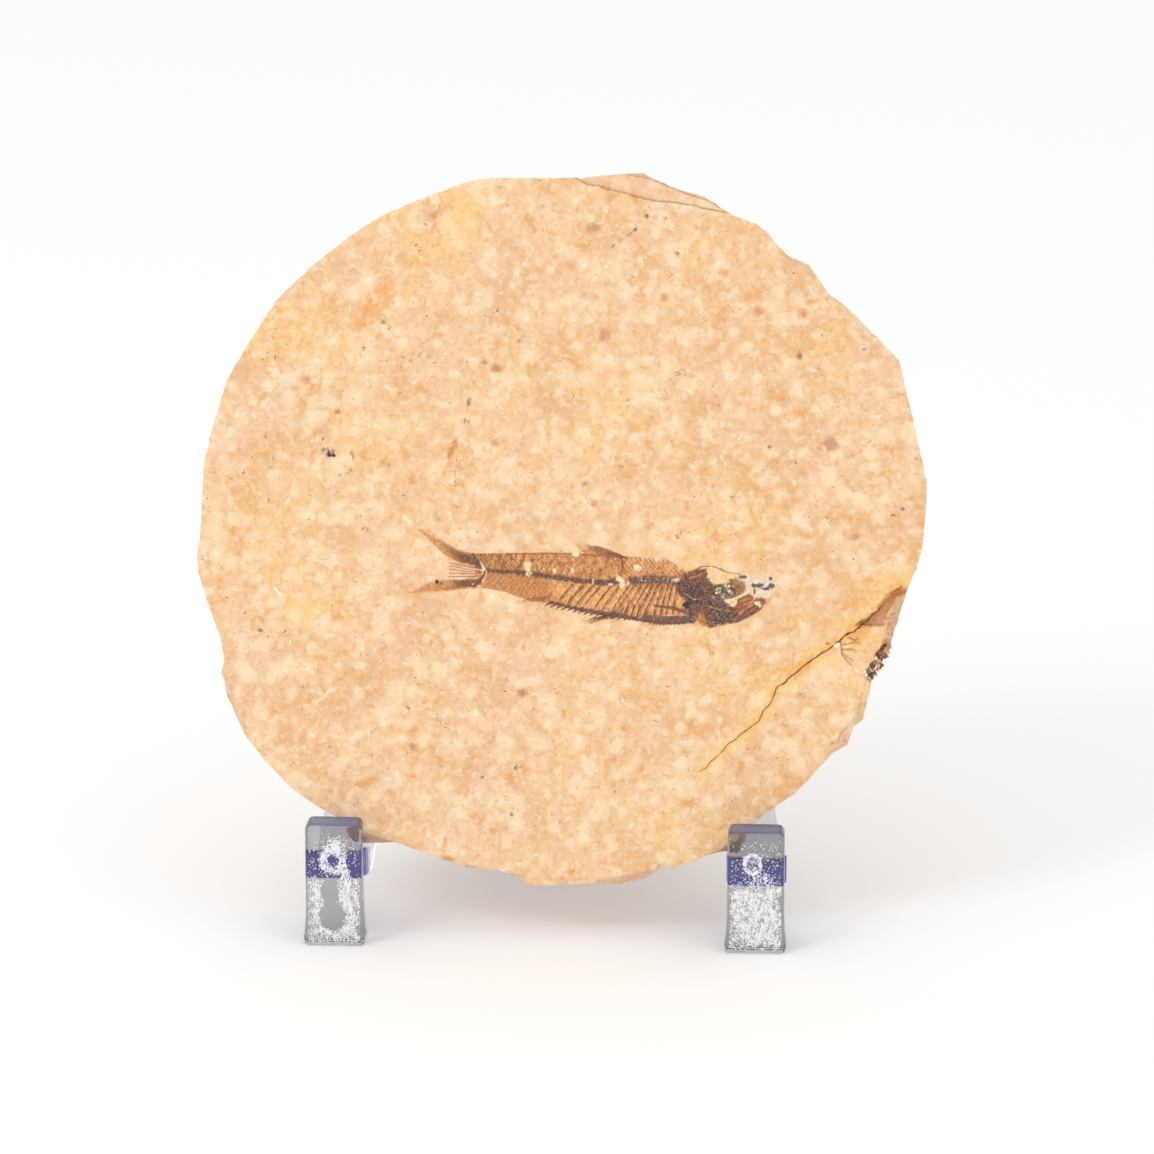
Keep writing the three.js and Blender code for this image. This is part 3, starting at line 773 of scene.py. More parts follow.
@dataclass(frozen=True)
class MarkedStone:
    """Limestone or bone: the stone's grain under the colours painted on the piece."""

    name: str
    cradle: Cradle
    grain: bpy.types.NodeTree
    relief: float
    gloss: float
    mottle: float
    net: float

    def material(self) -> Material:
        """Builds the material.

        Returns:
            The material, which reads the piece's marks.
        """
        material, nodes = fresh_material(self.name)
        back = self.cradle.slab().inverted()
        turned = nodes.mapped(nodes.on_piece(), Location=back.to_translation(), Rotation=back.to_euler(),
                              Scale=IN_MM)
        stone = nodes.add("Group", {"node_tree": self.grain}, Place=turned).outputs
        marks = nodes.painted("marks").outputs
        fine = nodes.noise(turned, 2.6, 4.0, 0.7)
        upright = nodes.mapped(turned, Rotation=(0, 0, 0.3), Scale=(3.4, 1.5, 1))
        both = nodes.math("ADD", fine, nodes.noise(upright, 1.0, 3.0, 0.6))
        shade = nodes.between(both, 0.7, 1.3, 1 - self.mottle, 1 + self.mottle)
        shaded = nodes.add("VectorMath", {"operation": "SCALE"}, i0=marks["Color"], Scale=shade).outputs[0]
        dark = nodes.times(nodes.between(marks["Color"], 0.1, 0.06),
                           nodes.between(marks["Color"], 0.016, 0.03))
        cells = nodes.add("TexVoronoi", {"feature": "DISTANCE_TO_EDGE"}, Vector=turned, Scale=2.1).outputs
        threads = nodes.times(nodes.between(cells["Distance"], 0.14, 0.02),
                              nodes.between(fine, 0.42, 0.62, 0.0, self.net))
        netted = nodes.mix(nodes.times(threads, dark), shaded, rgba(Tint.THREAD))
        nodes.surface(
            Base_Color=nodes.mix(marks["Alpha"], stone["Color"], netted),
            Roughness=nodes.math("SUBTRACT", stone["Roughness"], nodes.times(marks["Alpha"], self.gloss)),
            Normal=nodes.bump(stone["Height"], self.relief, 0.2 * MM),
            IOR=1.5,
        )
        return material


@dataclass(frozen=True)
class ClearAcrylic:
    """Clear cast acrylic, scratched and in places frosted; a tint for the blue-looking sawn ends."""

    name: str
    body: tuple
    frost: float
    shadow_light: float = 0.8
    sawn_body: tuple = (0.85, 0.85, 0.9)
    sawn_frost: float = 0.7

    def material(self) -> Material:
        """Builds the material.

        Returns:
            The material, duller where the piece's sawn attribute says so.
        """
        material, nodes = fresh_material(self.name)
        place = nodes.mapped(nodes.on_piece(), Scale=IN_MM)
        streaks = nodes.mapped(place, Rotation=(0.4, 0.9, 0.2), Scale=(6, 0.35, 0.35))
        scratch = nodes.between(nodes.noise(streaks, 1.0, 2.0), 0.62, 0.72)
        haze = nodes.between(nodes.noise(place, 0.4, 3.0), 0.45, 0.75)
        grit = nodes.noise(place, 3.0, 4.0, 0.7)
        sawn = nodes.painted("sawn").outputs["Fac"]
        height = nodes.math("ADD", nodes.times(scratch, 0.5), nodes.times(grit, haze))
        in_shadow = nodes.add("LightPath").outputs["Is Shadow Ray"]
        nodes.surface(
            Base_Color=nodes.mix(sawn, (*self.body, 1), (*self.sawn_body, 1)),
            Roughness=nodes.math("ADD", nodes.times(haze, self.frost), nodes.times(sawn, self.sawn_frost)),
            Alpha=nodes.math("SUBTRACT", 1.0, nodes.times(in_shadow, self.shadow_light)),
            Normal=nodes.bump(height, 0.25, 0.05 * MM),
            IOR=1.49,
            Transmission_Weight=1.0,
        )
        return material


@dataclass(frozen=True)
class FrostAndGlints:
    """White flecks of crazed glue and rubbed acrylic, and painted glints: their white also stands for light
    sparkling off the scratched hooks.
    """

    name: str = "frosted_glue_and_glints"
    colour: tuple = (250, 250, 252)
    dull: tuple = (0.7, 0.7, 0.73)

    def material(self) -> Material:
        """Builds the material.

        Returns:
            The material.
        """
        material, nodes = fresh_material(self.name)
        grit = nodes.noise(nodes.on_piece(), 2.0 / MM, 2.0)
        colour = nodes.mix(nodes.between(grit, 0.3, 0.45), (*self.dull, 1), rgba(self.colour))
        nodes.surface(Base_Color=colour, Roughness=0.4, IOR=1.49)
        return material


def stains_and_spots(paint: Paint) -> None:
    """Paints the stains, spots, hairs and scratches of the stone's front face.

    Args:
        paint: the paint on a piece of that face.
    """
    for at in ((-35.4, 34.4), (-33.2, 36.6), (-31.6, 38.8), (-30.8, 40.6)):
        paint.dab(at, (1.2, 1.7), Tint.ORANGE, 0.65, soft=0.7, ragged=0.6)
    paint.stroke([(-17.9, 15), (-18.6, 13.4), (-19.4, 11.5)], 0.8, Tint.TAN_SPOT, 0.75, ragged=0.4)
    for hair in ([(-38.6, 8.2), (-36.7, 8.6), (-35.7, 10.3), (-36, 11.8), (-36.6, 12.9)],
                 [(-32.6, 23.5), (-32, 22.6), (-31.4, 22.3)], [(-27.5, 23.7), (-27.6, 22.9), (-28.2, 22.3)],
                 [(-24.9, 28.9), (-24.1, 29.8)], [(-7.8, 31.2), (-7.4, 32.4)], [(-16.2, 46.7), (-15, 46.1)]):
        paint.stroke(hair, 0.2, Tint.OLIVE, 0.65)
    paint.dab((-40, 12), (0.8, 0.7), Tint.INK, 0.95, soft=0.3, ragged=1.2)
    paint.dab((-18.2, 52.6), (2.4, 4.2), Tint.YELLOW, 0.4, soft=0.9, turn=-20)
    paint.dab((-43.9, -15.1), (2.6, 1.6), Tint.YELLOW, 0.45, soft=0.9)
    paint.dab((-23.6, 53), (1.2, 1.6), Tint.BROWN_SPOT, 0.3, soft=0.9, ragged=0.9)
    paint.dab((-38.2, 44.5), (1.7, 1), Tint.BROWN_SPOT, 0.2, soft=0.9, ragged=0.9)
    paint.dab((-55.7, 26.8), (1.2, 1.8), Tint.PINK, 0.5, soft=0.9)
    # Each spot's place across and up, its half lengths and its strength
    for tint, spots in (
        (Tint.TAN_SPOT, [
            (6.9, 33, 0.9, 1.1, 0.85), (33.5, 37.3, 0.9, 0.7, 0.8), (40.9, 37, 0.8, 0.8, 0.8),
            (27.3, 43.9, 0.8, 0.7, 0.7), (17.2, 39.6, 0.7, 0.8, 0.7), (50.4, -1, 0.9, 0.7, 0.8),
            (5.8, 4, 0.7, 0.7, 0.7), (-11.5, 14.1, 0.7, 0.7, 0.6), (-21, 0.9, 0.7, 0.5, 0.6),
            (-18.4, -57.4, 1.2, 0.7, 0.8),
        ]),
        (Tint.BROWN_SPOT, [
            (45.9, 14.8, 1.3, 1.1, 0.75), (5, 51.3, 1.3, 0.7, 0.6), (-11.4, 26.8, 0.8, 0.7, 0.75),
            (-38.7, 19.1, 0.5, 0.35, 0.8), (-44.2, 24.6, 0.9, 0.6, 0.5), (-6.2, -28.7, 0.9, 0.6, 0.6),
            (-24.6, -38.2, 0.7, 0.7, 0.6),
        ]),
        (Tint.MAROON, [(40.4, 29.8, 0.5, 0.6, 0.8), (-16.2, 21, 0.3, 0.6, 0.9),
                       (-15.8, 21.6, 0.25, 0.3, 0.8)]),
        (Tint.BROWN, [(-13.6, 27.9, 0.4, 0.5, 0.7), (-31.1, 34.6, 0.4, 0.3, 0.7)]),
        (Tint.INK, [
            (-40.1, 11.9, 0.7, 0.6, 0.9), (-37.5, 13.6, 0.25, 0.25, 0.8), (-28.6, 47.1, 0.25, 0.3, 0.8),
            (8.3, 48.3, 0.35, 0.3, 0.85), (12, 51.1, 0.3, 0.3, 0.85), (13.9, 53.5, 0.3, 0.25, 0.85),
            (19.3, 47.1, 0.3, 0.3, 0.8), (25.8, 7.1, 0.3, 0.3, 0.8), (4.1, 7.4, 0.25, 0.3, 0.8),
            (35.6, 14.1, 0.3, 0.3, 0.8), (58.5, 3.8, 0.4, 0.3, 0.8), (-51.4, -18.6, 0.4, 0.3, 0.8),
            (-12.7, -43.2, 0.35, 0.3, 0.8), (-7.1, -41.5, 0.3, 0.3, 0.8), (-25.6, -31.5, 0.3, 0.3, 0.8),
            (-7.6, -49.5, 0.3, 0.3, 0.8),
        ]),
        (Tint.OLIVE, [(-40.9, 12.6, 0.45, 0.3, 0.9), (-29.9, 33.7, 0.35, 0.25, 0.8)]),
    ):
        for u, v, across, up, strength in spots:
            paint.dab((u, v), (across, up), tint, strength * 0.85, soft=0.55, ragged=0.3)
    paint.stroke([(8.3, 48.3), (10.3, 49.6), (12, 51.1), (13.9, 53.5)], 0.22, Tint.OLIVE, 0.6)
    paint.stroke([(-48.9, -11.4), (-48.1, -12.4)], 0.4, Tint.WHITE, 0.9)
    paint.stroke([(-41.5, -30.8), (-40.2, -29.8), (-38.4, -27.7)], 0.45, Tint.WHITE, 0.45)


def crack_and_layers(paint: Paint) -> None:
    """Paints the crack with its stain and veins, the broken places, and painted shadow lines along the edges
    of the split layers.

    Args:
        paint: the paint on a piece of the front face.
    """
    paint.stroke(CRACK, 6.5, Tint.YELLOW, 0.45, end_width=3, ragged=0.9)
    paint.stroke(CRACK, 2.6, Tint.ORANGE, 0.6, end_width=0.8, ragged=0.5, fade=0.6)
    paint.dab((51.8, -17.4), (2.4, 1.2), Tint.ORANGE, 0.75, soft=0.6, turn=45)
    paint.dab((42, -23.5), (2.2, 0.9), Tint.ORANGE, 0.6, soft=0.6, turn=40)
    paint.area(BROKEN_CORNER, Tint.BROKEN, 0.9, soft=0.3, ragged=0.3)
    paint.speckle(BROKEN_CORNER, 90, Tint.TAN, (0.15, 0.4), 0.6)
    paint.area(LOST_FLAKE, Tint.OCHRE, 0.85, soft=0.4, ragged=0.25)
    paint.speckle(LOST_FLAKE, 60, Tint.AMBER, (0.2, 0.5), 0.7)
    paint.speckle(LOST_FLAKE, 30, Tint.BROWN, (0.15, 0.4), 0.5)
    paint.stroke(CRACK[3:], 0.5, Tint.OCHRE, 0.6, end_width=0.2, ragged=0.12, fade=0.7, wavy=True)
    paint.stroke(LOST_FLAKE[:6], 0.3, Tint.BROWN, 0.7, wavy=True)
    paint.stroke([(51.8, -16), (55.5, -16.1), (56.4, -13.6)], 0.22, Tint.BROWN, 0.75, wavy=True)
    paint.stroke(CRACK[2:], 0.2, Tint.INK, 0.95, end_width=0.1, ragged=0.04, fade=0.55, wavy=True)
    for vein in (CRACK_BRANCH, *CRACK_VEINS):
        paint.stroke(vein, 0.5, Tint.OCHRE, 0.4, wavy=True, fade=0.6)
        paint.stroke(vein, 0.14, Tint.BROWN, 0.7, end_width=0.1, wavy=True, fade=0.7)
    paint.stroke(SECOND_HAIRLINE, 0.22, Tint.BROWN, 0.6, end_width=0.14, wavy=True)
    paint.stroke([(52.6, -25.8), (51.9, -28), (51.7, -30.4), (50.9, -33.5)], 0.3, Tint.OCHRE, 0.5,
                 wavy=True)
    paint.stroke([(49.7, -33.5), (48.3, -34.9), (48, -36.4)], 0.2, Tint.RUST, 0.6, wavy=True)
    for at, size in [((52.3, -11.6), (3, 1.3)), ((39.5, -15.3), (1.6, 1.1)), ((44.6, -15.6), (1.3, 1.6)),
                     ((46, -19.6), (1.2, 0.9)), ((25.9, -35.5), (1.8, 1.4)), ((29.3, -28.9), (2.2, 1)),
                     ((35.3, -25.6), (2.4, 1.2)), ((40, -23.7), (2, 0.9)), ((48.6, -30.6), (1.1, 0.9)),
                     ((17.4, -30), (2, 0.8)), ((47.4, -8), (1.6, 0.8)), ((-13.2, 2), (1.6, 1))]:
        paint.dab(at, size, Tint.ORANGE, 0.5, soft=0.9, ragged=0.9, turn=35)
    paint.dab((47.6, -19.6), (0.6, 0.4), Tint.WHITE, 0.9)
    paint.dab((46, -19.3), (0.3, 0.2), Tint.INK, 0.8)
    paint.dab((56.2, -19.4), (0.9, 1.1), Tint.TAN_SPOT, 0.7)
    # Painted shadow: dark lines where the split layers step down.
    paint.stroke(FIRST_LAMINATION[1:-2], 0.35, Tint.BROWN, 0.6)
    paint.stroke(SECOND_LAMINATION[1:-2], 0.3, Tint.BROWN, 0.6)


def stone_marks(paint: Paint) -> None:
    """Paints every mark of the stone's front face."""
    stains_and_spots(paint)
    crack_and_layers(paint)


@dataclass(frozen=True)
class RimChip:
    """A bevel broken off the front edge, given clockwise round the rim."""

    start: tuple
    end: tuple
    width: float
    drop: float

    def place(self, along: float, inward: float) -> tuple[float, float]:
        """A place at a share of the chip's length and a distance in from the rim."""
        run = Vector(self.end) - Vector(self.start)
        spot = Vector(self.start) + run * along + Vector((run.y, -run.x)).normalized() * inward
        return tuple(spot)

    def depth(self, u: Values, v: Values) -> Values:
        """How far the chip lowers the front face at each place.

        Args:
            u: places across the face.
            v: places up the face.

        Returns:
            The depth at each place.
        """
        run = Vector(self.end) - Vector(self.start)
        length = run.length
        run.normalize()
        along = ((u - self.start[0]) * run.x + (v - self.start[1]) * run.y) / length
        inward = (u - self.start[0]) * run.y - (v - self.start[1]) * run.x
        within = smooth(-0.02, 0.1, along) * smooth(1.02, 0.9, along)
        wander = self.width * (0.9 + 0.35 * ripple(u, v, 1.6, 71))
        return self.drop * np.clip(1 - inward / wander, 0, 1) * within * (inward > -6)


@dataclass
class LimestoneSlab:
    """The knapped plate of limestone, its crack, chips, split layers and rough back."""

    cradle: Cradle
    cells: int = 150
    side_rings: int = 11
    knap: float = 0.42
    blows: int = 190
    crack_depth: float = 0.5
    vein_depth: float = 0.2
    flake_depth: float = 1.1
    corner_depth: float = 1.2
    lamination_depths: tuple = (0.45, 1.1)
    shoulders: tuple = (((-33.1, -53.0), 2.1, 0.07), ((30.4, -53.4), 1.7, 0.05))
    crystals: int = 44
    crystal_radius: tuple = (0.36, 0.78)
    pocket_at: tuple = (56.2, -23.4)
    pocket_radius: float = 2.6
    pocket_height: float = 0.6
    pocket_depth: float = 1.7
    chips: tuple = (
        RimChip((38, 47.6), (43.2, 44.2), 1.1, 1.4),
        RimChip((57.2, -19.4), (53.4, -26), 1.9, 3.2),
        RimChip((53.4, -29.4), (46.4, -39.6), 1.2, 2.8),
        RimChip((20.6, -58.6), (6.6, -61.6), 1, 2.2),
        RimChip((-5, -61.2), (-15.4, -59.4), 1.3, 3),
        RimChip((-54.2, -36.4), (-58.6, -25.4), 1, 2.6),
        RimChip((-50, 38.2), (-44.4, 43.8), 1.2, 2.4),
    )

    def build(self, finish: Material) -> Piece:
        """Models the slab and paints it.

        Args:
            finish: the limestone.

        Returns:
            The finished piece.
        """
        slab = self.blank()
        self.refine(slab)
        self.carve(slab)
        self.grow_crystals(slab)
        paint = Paint(places_of(slab), 11)
        stone_marks(paint)
        self.colour_sides(slab, paint)
        paint.keep_on(slab)
        slab.data.transform(self.cradle.slab())
        smooth_over(slab, 38)
        finish_piece(slab, finish, ["stone_slab"])
        return slab

    def blank(self) -> Piece:
        """A plate of the rim's outline, both faces in even cells, its side in rings.

        Returns:
            The blank, in the slab's own frame.
        """
        start_over()
        bpy.ops.mesh.primitive_grid_add(x_subdivisions=self.cells, y_subdivisions=self.cells, size=2)
        slab = active("limestone_slab")
        square = places_of(slab)
        across = square[:, 0] * np.sqrt(1 - square[:, 1] ** 2 / 2)
        up = square[:, 1] * np.sqrt(1 - square[:, 0] ** 2 / 2)
        turn = np.arctan2(up, across)
        reach = np.hypot(across, up) * rim_reach(turn)
        places = np.column_stack([reach * np.cos(turn), reach * np.sin(turn), np.full(len(turn), FACE)])
        move_places(slab, places)
        edit(slab, Part.FACES, np.ones(len(slab.data.polygons), bool))
        thicken(-SLAB_THICKNESS)
        ends = edge_ends(slab)
        split_up(slab, Part.EDGES, np.abs(ends[:, 0, 2] - ends[:, 1, 2]) > 1, self.side_rings)
        return slab

    def refine(self, slab: Piece) -> None:
        """Splits the faces round the crack, the broken layers and the marks into finer ones."""
        for reach in (1.7, 0.9, 0.35):
            middles = face_middles(slab)
            u, v, front = middles[:, 0], middles[:, 1], middles[:, 2] > FACE - 0.01
            lines = [from_path(*wavering(u, v), line)[0] for line in (CRACK, CRACK_BRANCH, *CRACK_VEINS)]
            chosen = np.min(lines, axis=0) < reach
            if reach > 0.5:
                paint = Paint(middles, 11)
                stone_marks(paint)
                for outline in (LOST_FLAKE, BROKEN_CORNER, FIRST_LAMINATION, SECOND_LAMINATION):
                    chosen |= np.abs(inside_by(u, v, outline)) < reach * 0.6
                for chip in self.chips:
                    chosen |= chip.depth(u, v) > 0.05
                chosen |= paint.cover > 0.1
            split_up(slab, Part.FACES, chosen & front, 1)

    def front_depth(self, u: Values, v: Values) -> Values:
        """How far the front face is lowered at each place.

        Args:
            u: places across the face.
            v: places up the face.

        Returns:
            The depth at each place.
        """
        away, along = from_path(*wavering(u, v), CRACK)
        half = 0.13 - 0.06 * along
        depth = self.crack_depth * (1 - 0.6 * along) * (1 - smooth(half * 0.4, half * 1.4, away))
        for vein in (CRACK_BRANCH, *CRACK_VEINS):
            away = from_path(*wavering(u, v), vein)[0]
            depth = np.maximum(depth, self.vein_depth * (1 - smooth(0.04, 0.2, away)))
        rough = ripple(u, v, 1.1, 31) + 0.5 * ripple(u, v, 0.5, 32)
        flake = self.flake_depth * smooth(-0.1, 0.7, inside_by(u, v, LOST_FLAKE) + 0.2 * rough)
        corner = self.corner_depth * smooth(-0.1, 1.3, inside_by(u, v, BROKEN_CORNER) + 0.25 * rough)
        depth = np.max([depth, flake * (1 + 0.12 * rough), corner * (1 + 0.25 * rough)], axis=0)
        wander = 0.25 * ripple(u, v, 0.9, 33)
        for outline, drop in zip((FIRST_LAMINATION, SECOND_LAMINATION), self.lamination_depths):
            depth = np.maximum(depth, drop * smooth(-0.05, 0.18, inside_by(u, v, outline) + wander))
        for chip in self.chips:
            depth = np.maximum(depth, chip.depth(u, v))
        swell = 0.05 * ripple(u, v, 7, 35) + 0.025 * ripple(u, v, 2.3, 36)
        to_rim = rim_reach(np.arctan2(v, u)) - np.hypot(u, v)
        worn = (0.16 + 0.14 * ripple(u, v, 1.5, 37)) * (1 - smooth(0, 0.8, to_rim))
        return depth + worn + 0.04 - swell

    def back_depth(self, u: Values, v: Values) -> Values:
        """How far the split back face stands in at each place.

        Args:
            u: places across the face.
            v: places up the face.

        Returns:
            The depth at each place.
        """
        rough = ripple(u, v, 5, 41) + 0.5 * ripple(u, v, 2.1, 42) + 0.3 * ripple(u, v, 0.9, 43)
        depth = 0.16 + 0.1 * rough
        wander = self.wander(u, v)
        for outline, step in BACK_STEPS:
            layer = step * smooth(-0.3, 0.5, inside_by(u, v, outline) + wander)
            depth = np.maximum(depth, layer + 0.14 * rough)
        return depth

    def wander(self, u: Values, v: Values) -> Values:
        """How far the edges of the split layers on the back stray at each place."""
        return 1.3 * ripple(u, v, 6, 44) + 0.5 * ripple(u, v, 2.2, 45)

    def carve(self, slab: Piece) -> None:
        """Moves the blank's vertices to the knapped, cracked and split stone.

        Args:
            slab: the refined blank.
        """
        places = places_of(slab)
        u, v, w = places.T
        turn = np.arctan2(v, u)
        reach = rim_reach(turn)
        on_wall = np.hypot(u, v) > reach * 0.9995
        down = (FACE - w) / SLAB_THICKNESS
        top, bottom = FACE - self.front_depth(u, v), -FACE + self.back_depth(u, v)
        height = top + (bottom - top) * down
        ragged, held = self.knapping(turn, w, reach)
        stretch = 1 + np.where(on_wall, (ragged * np.minimum(1, 2 * down) + held) / reach, 0)
        stretch -= np.where(on_wall, self.pocket(u, v, w) / reach, 0)
        move_places(slab, np.column_stack([u * stretch, v * stretch, height]))

    def grow_crystals(self, slab: Piece) -> None:
        """Sets small angular crystals into the pocket in the rim.

        Args:
            slab: the carved slab, which they join.
        """
        draw = np.random.default_rng(17)
        chip = self.chips[1]
        start_over()
        for number in range(self.crystals):
            u, v = chip.place(draw.uniform(0.05, 0.95), draw.uniform(0.05, 1.7))
            sunk = self.front_depth(np.array([u]), np.array([v]))[0]
            at = (u, v, FACE - sunk + draw.uniform(-0.3, 0.3))
            turn = tuple(draw.uniform(0, 3, 3))
            radius = draw.uniform(*self.crystal_radius)
            bpy.ops.mesh.primitive_ico_sphere_add(subdivisions=1, radius=radius, location=at, rotation=turn)
            if number == 0:
                bits = active("crystals")
                bpy.ops.object.mode_set(mode="EDIT")
        bpy.ops.object.mode_set(mode="OBJECT")
        bits.data.transform(bits.matrix_basis)
        bits.matrix_basis = Matrix()
        places = places_of(bits)
        middles = places.reshape(-1, CRYSTAL_CORNERS, 3).mean(axis=1).repeat(CRYSTAL_CORNERS, axis=0)
        move_places(bits, middles + (places - middles) * draw.uniform(0.6, 1.35, (len(places), 3)))
        slab.select_set(True)
        bpy.context.view_layer.objects.active = slab
        bpy.ops.object.join()

    def knapping(self, turn: Values, w: Values, reach: Values) -> tuple[Values, Values]:
        """How far blows have taken the side in and out.

        Args:
            turn: the direction of each place from the slab's middle.
            w: its height through the slab.
            reach: the outline's distance there.

        Returns:
            The scalloping, which fades at the front edge, and the fine ragged line of that edge.
        """
        draw = np.random.default_rng(5)
        blows = np.column_stack([draw.uniform(-math.pi, math.pi, self.blows),
                                 draw.uniform(-4.5, 3.5, self.blows)])
        depth = np.full(turn.shape, np.inf)
        for blow, height in blows:
            side = np.angle(np.exp(1j * (turn - blow))) * reach
            depth = np.minimum(depth, (side / 2.6) ** 2 + ((w - height) / 2.2) ** 2)
        scallop = 0.5 * np.minimum(depth, 1.4) - 0.35
        waves = np.sin(23 * turn + 2.1 * w) + np.sin(41 * turn - 1.3 * w) + np.sin(67 * turn + w)
        down = (FACE - w) / SLAB_THICKNESS
        quiet, bulge = np.ones(turn.shape), np.zeros(turn.shape)
        for (at_u, at_v), out, spread in self.shoulders:
            share = np.exp(-(((turn - math.atan2(at_v, at_u)) / spread) ** 2))
            quiet, bulge = np.minimum(quiet, 1 - share), bulge + out * share
        ragged = (0.6 * self.knap * (waves - 1.6) - 0.5 * down + scallop - 0.25) * quiet + bulge
        around = turn * 62
        edge = -0.16 * np.abs(ripple(around, w * 0.6, 1.1, 61)) - 0.08 * np.abs(ripple(around, w, 0.45, 62))
        return ragged, edge

    def pocket(self, u: Values, v: Values, w: Values) -> Values:
        """How far the rim stands in at the dark pocket."""
        at_u, at_v = self.pocket_at
        away = np.hypot(np.hypot(u - at_u, v - at_v) / self.pocket_radius, (w - self.pocket_height) / 2.4)
        return self.pocket_depth * (1 - smooth(0.3, 1.0, away))

    def colour_sides(self, slab: Piece, paint: Paint) -> None:
        """Tints the broken side, the pocket and the back.

        Args:
            slab: the slab with its crystals.
            paint: the paint on it.
        """
        places = places_of(slab)
        u, v, w = places.T
        broken = smooth(3.75, 3.2, w) * (0.35 + 0.3 * ripple(u + w, v - w, 1.7, 81))
        every = np.arange(len(w))
        paint.lay(every, np.clip(broken, 0, 1), Tint.BROKEN, 0)
        for outline, _ in BACK_STEPS:
            past = inside_by(u, v, outline) + self.wander(u, v)
            edge = (1 - smooth(0.2, 0.9, np.abs(past))) * (w < 0)
            paint.lay(every, 0.36 * edge, Tint.TAN, 0)
            paint.lay(every, 0.25 * smooth(0, 6, past) * (w < 0), Tint.OCHRE, 0)
        at_u, at_v = self.pocket_at
        away = np.hypot(u - at_u, v - at_v) / self.pocket_radius
        pocket = (1 - smooth(0.6, 1.0, away + 0.2 * paint.uneven)) * smooth(3.9, 3.4, w)
        paint.lay(every, pocket, Tint.BROWN, 0)
        first = len(w) - CRYSTAL_CORNERS * self.crystals
        tints = (Tint.WHITE, Tint.BROWN, Tint.TAN, Tint.BROKEN, Tint.INK)
        for number in range(self.crystals):
            bit = first + CRYSTAL_CORNERS * number + np.arange(CRYSTAL_CORNERS)
            paint.lay(bit, np.full(CRYSTAL_CORNERS, 0.9), tints[number % len(tints)], 0)


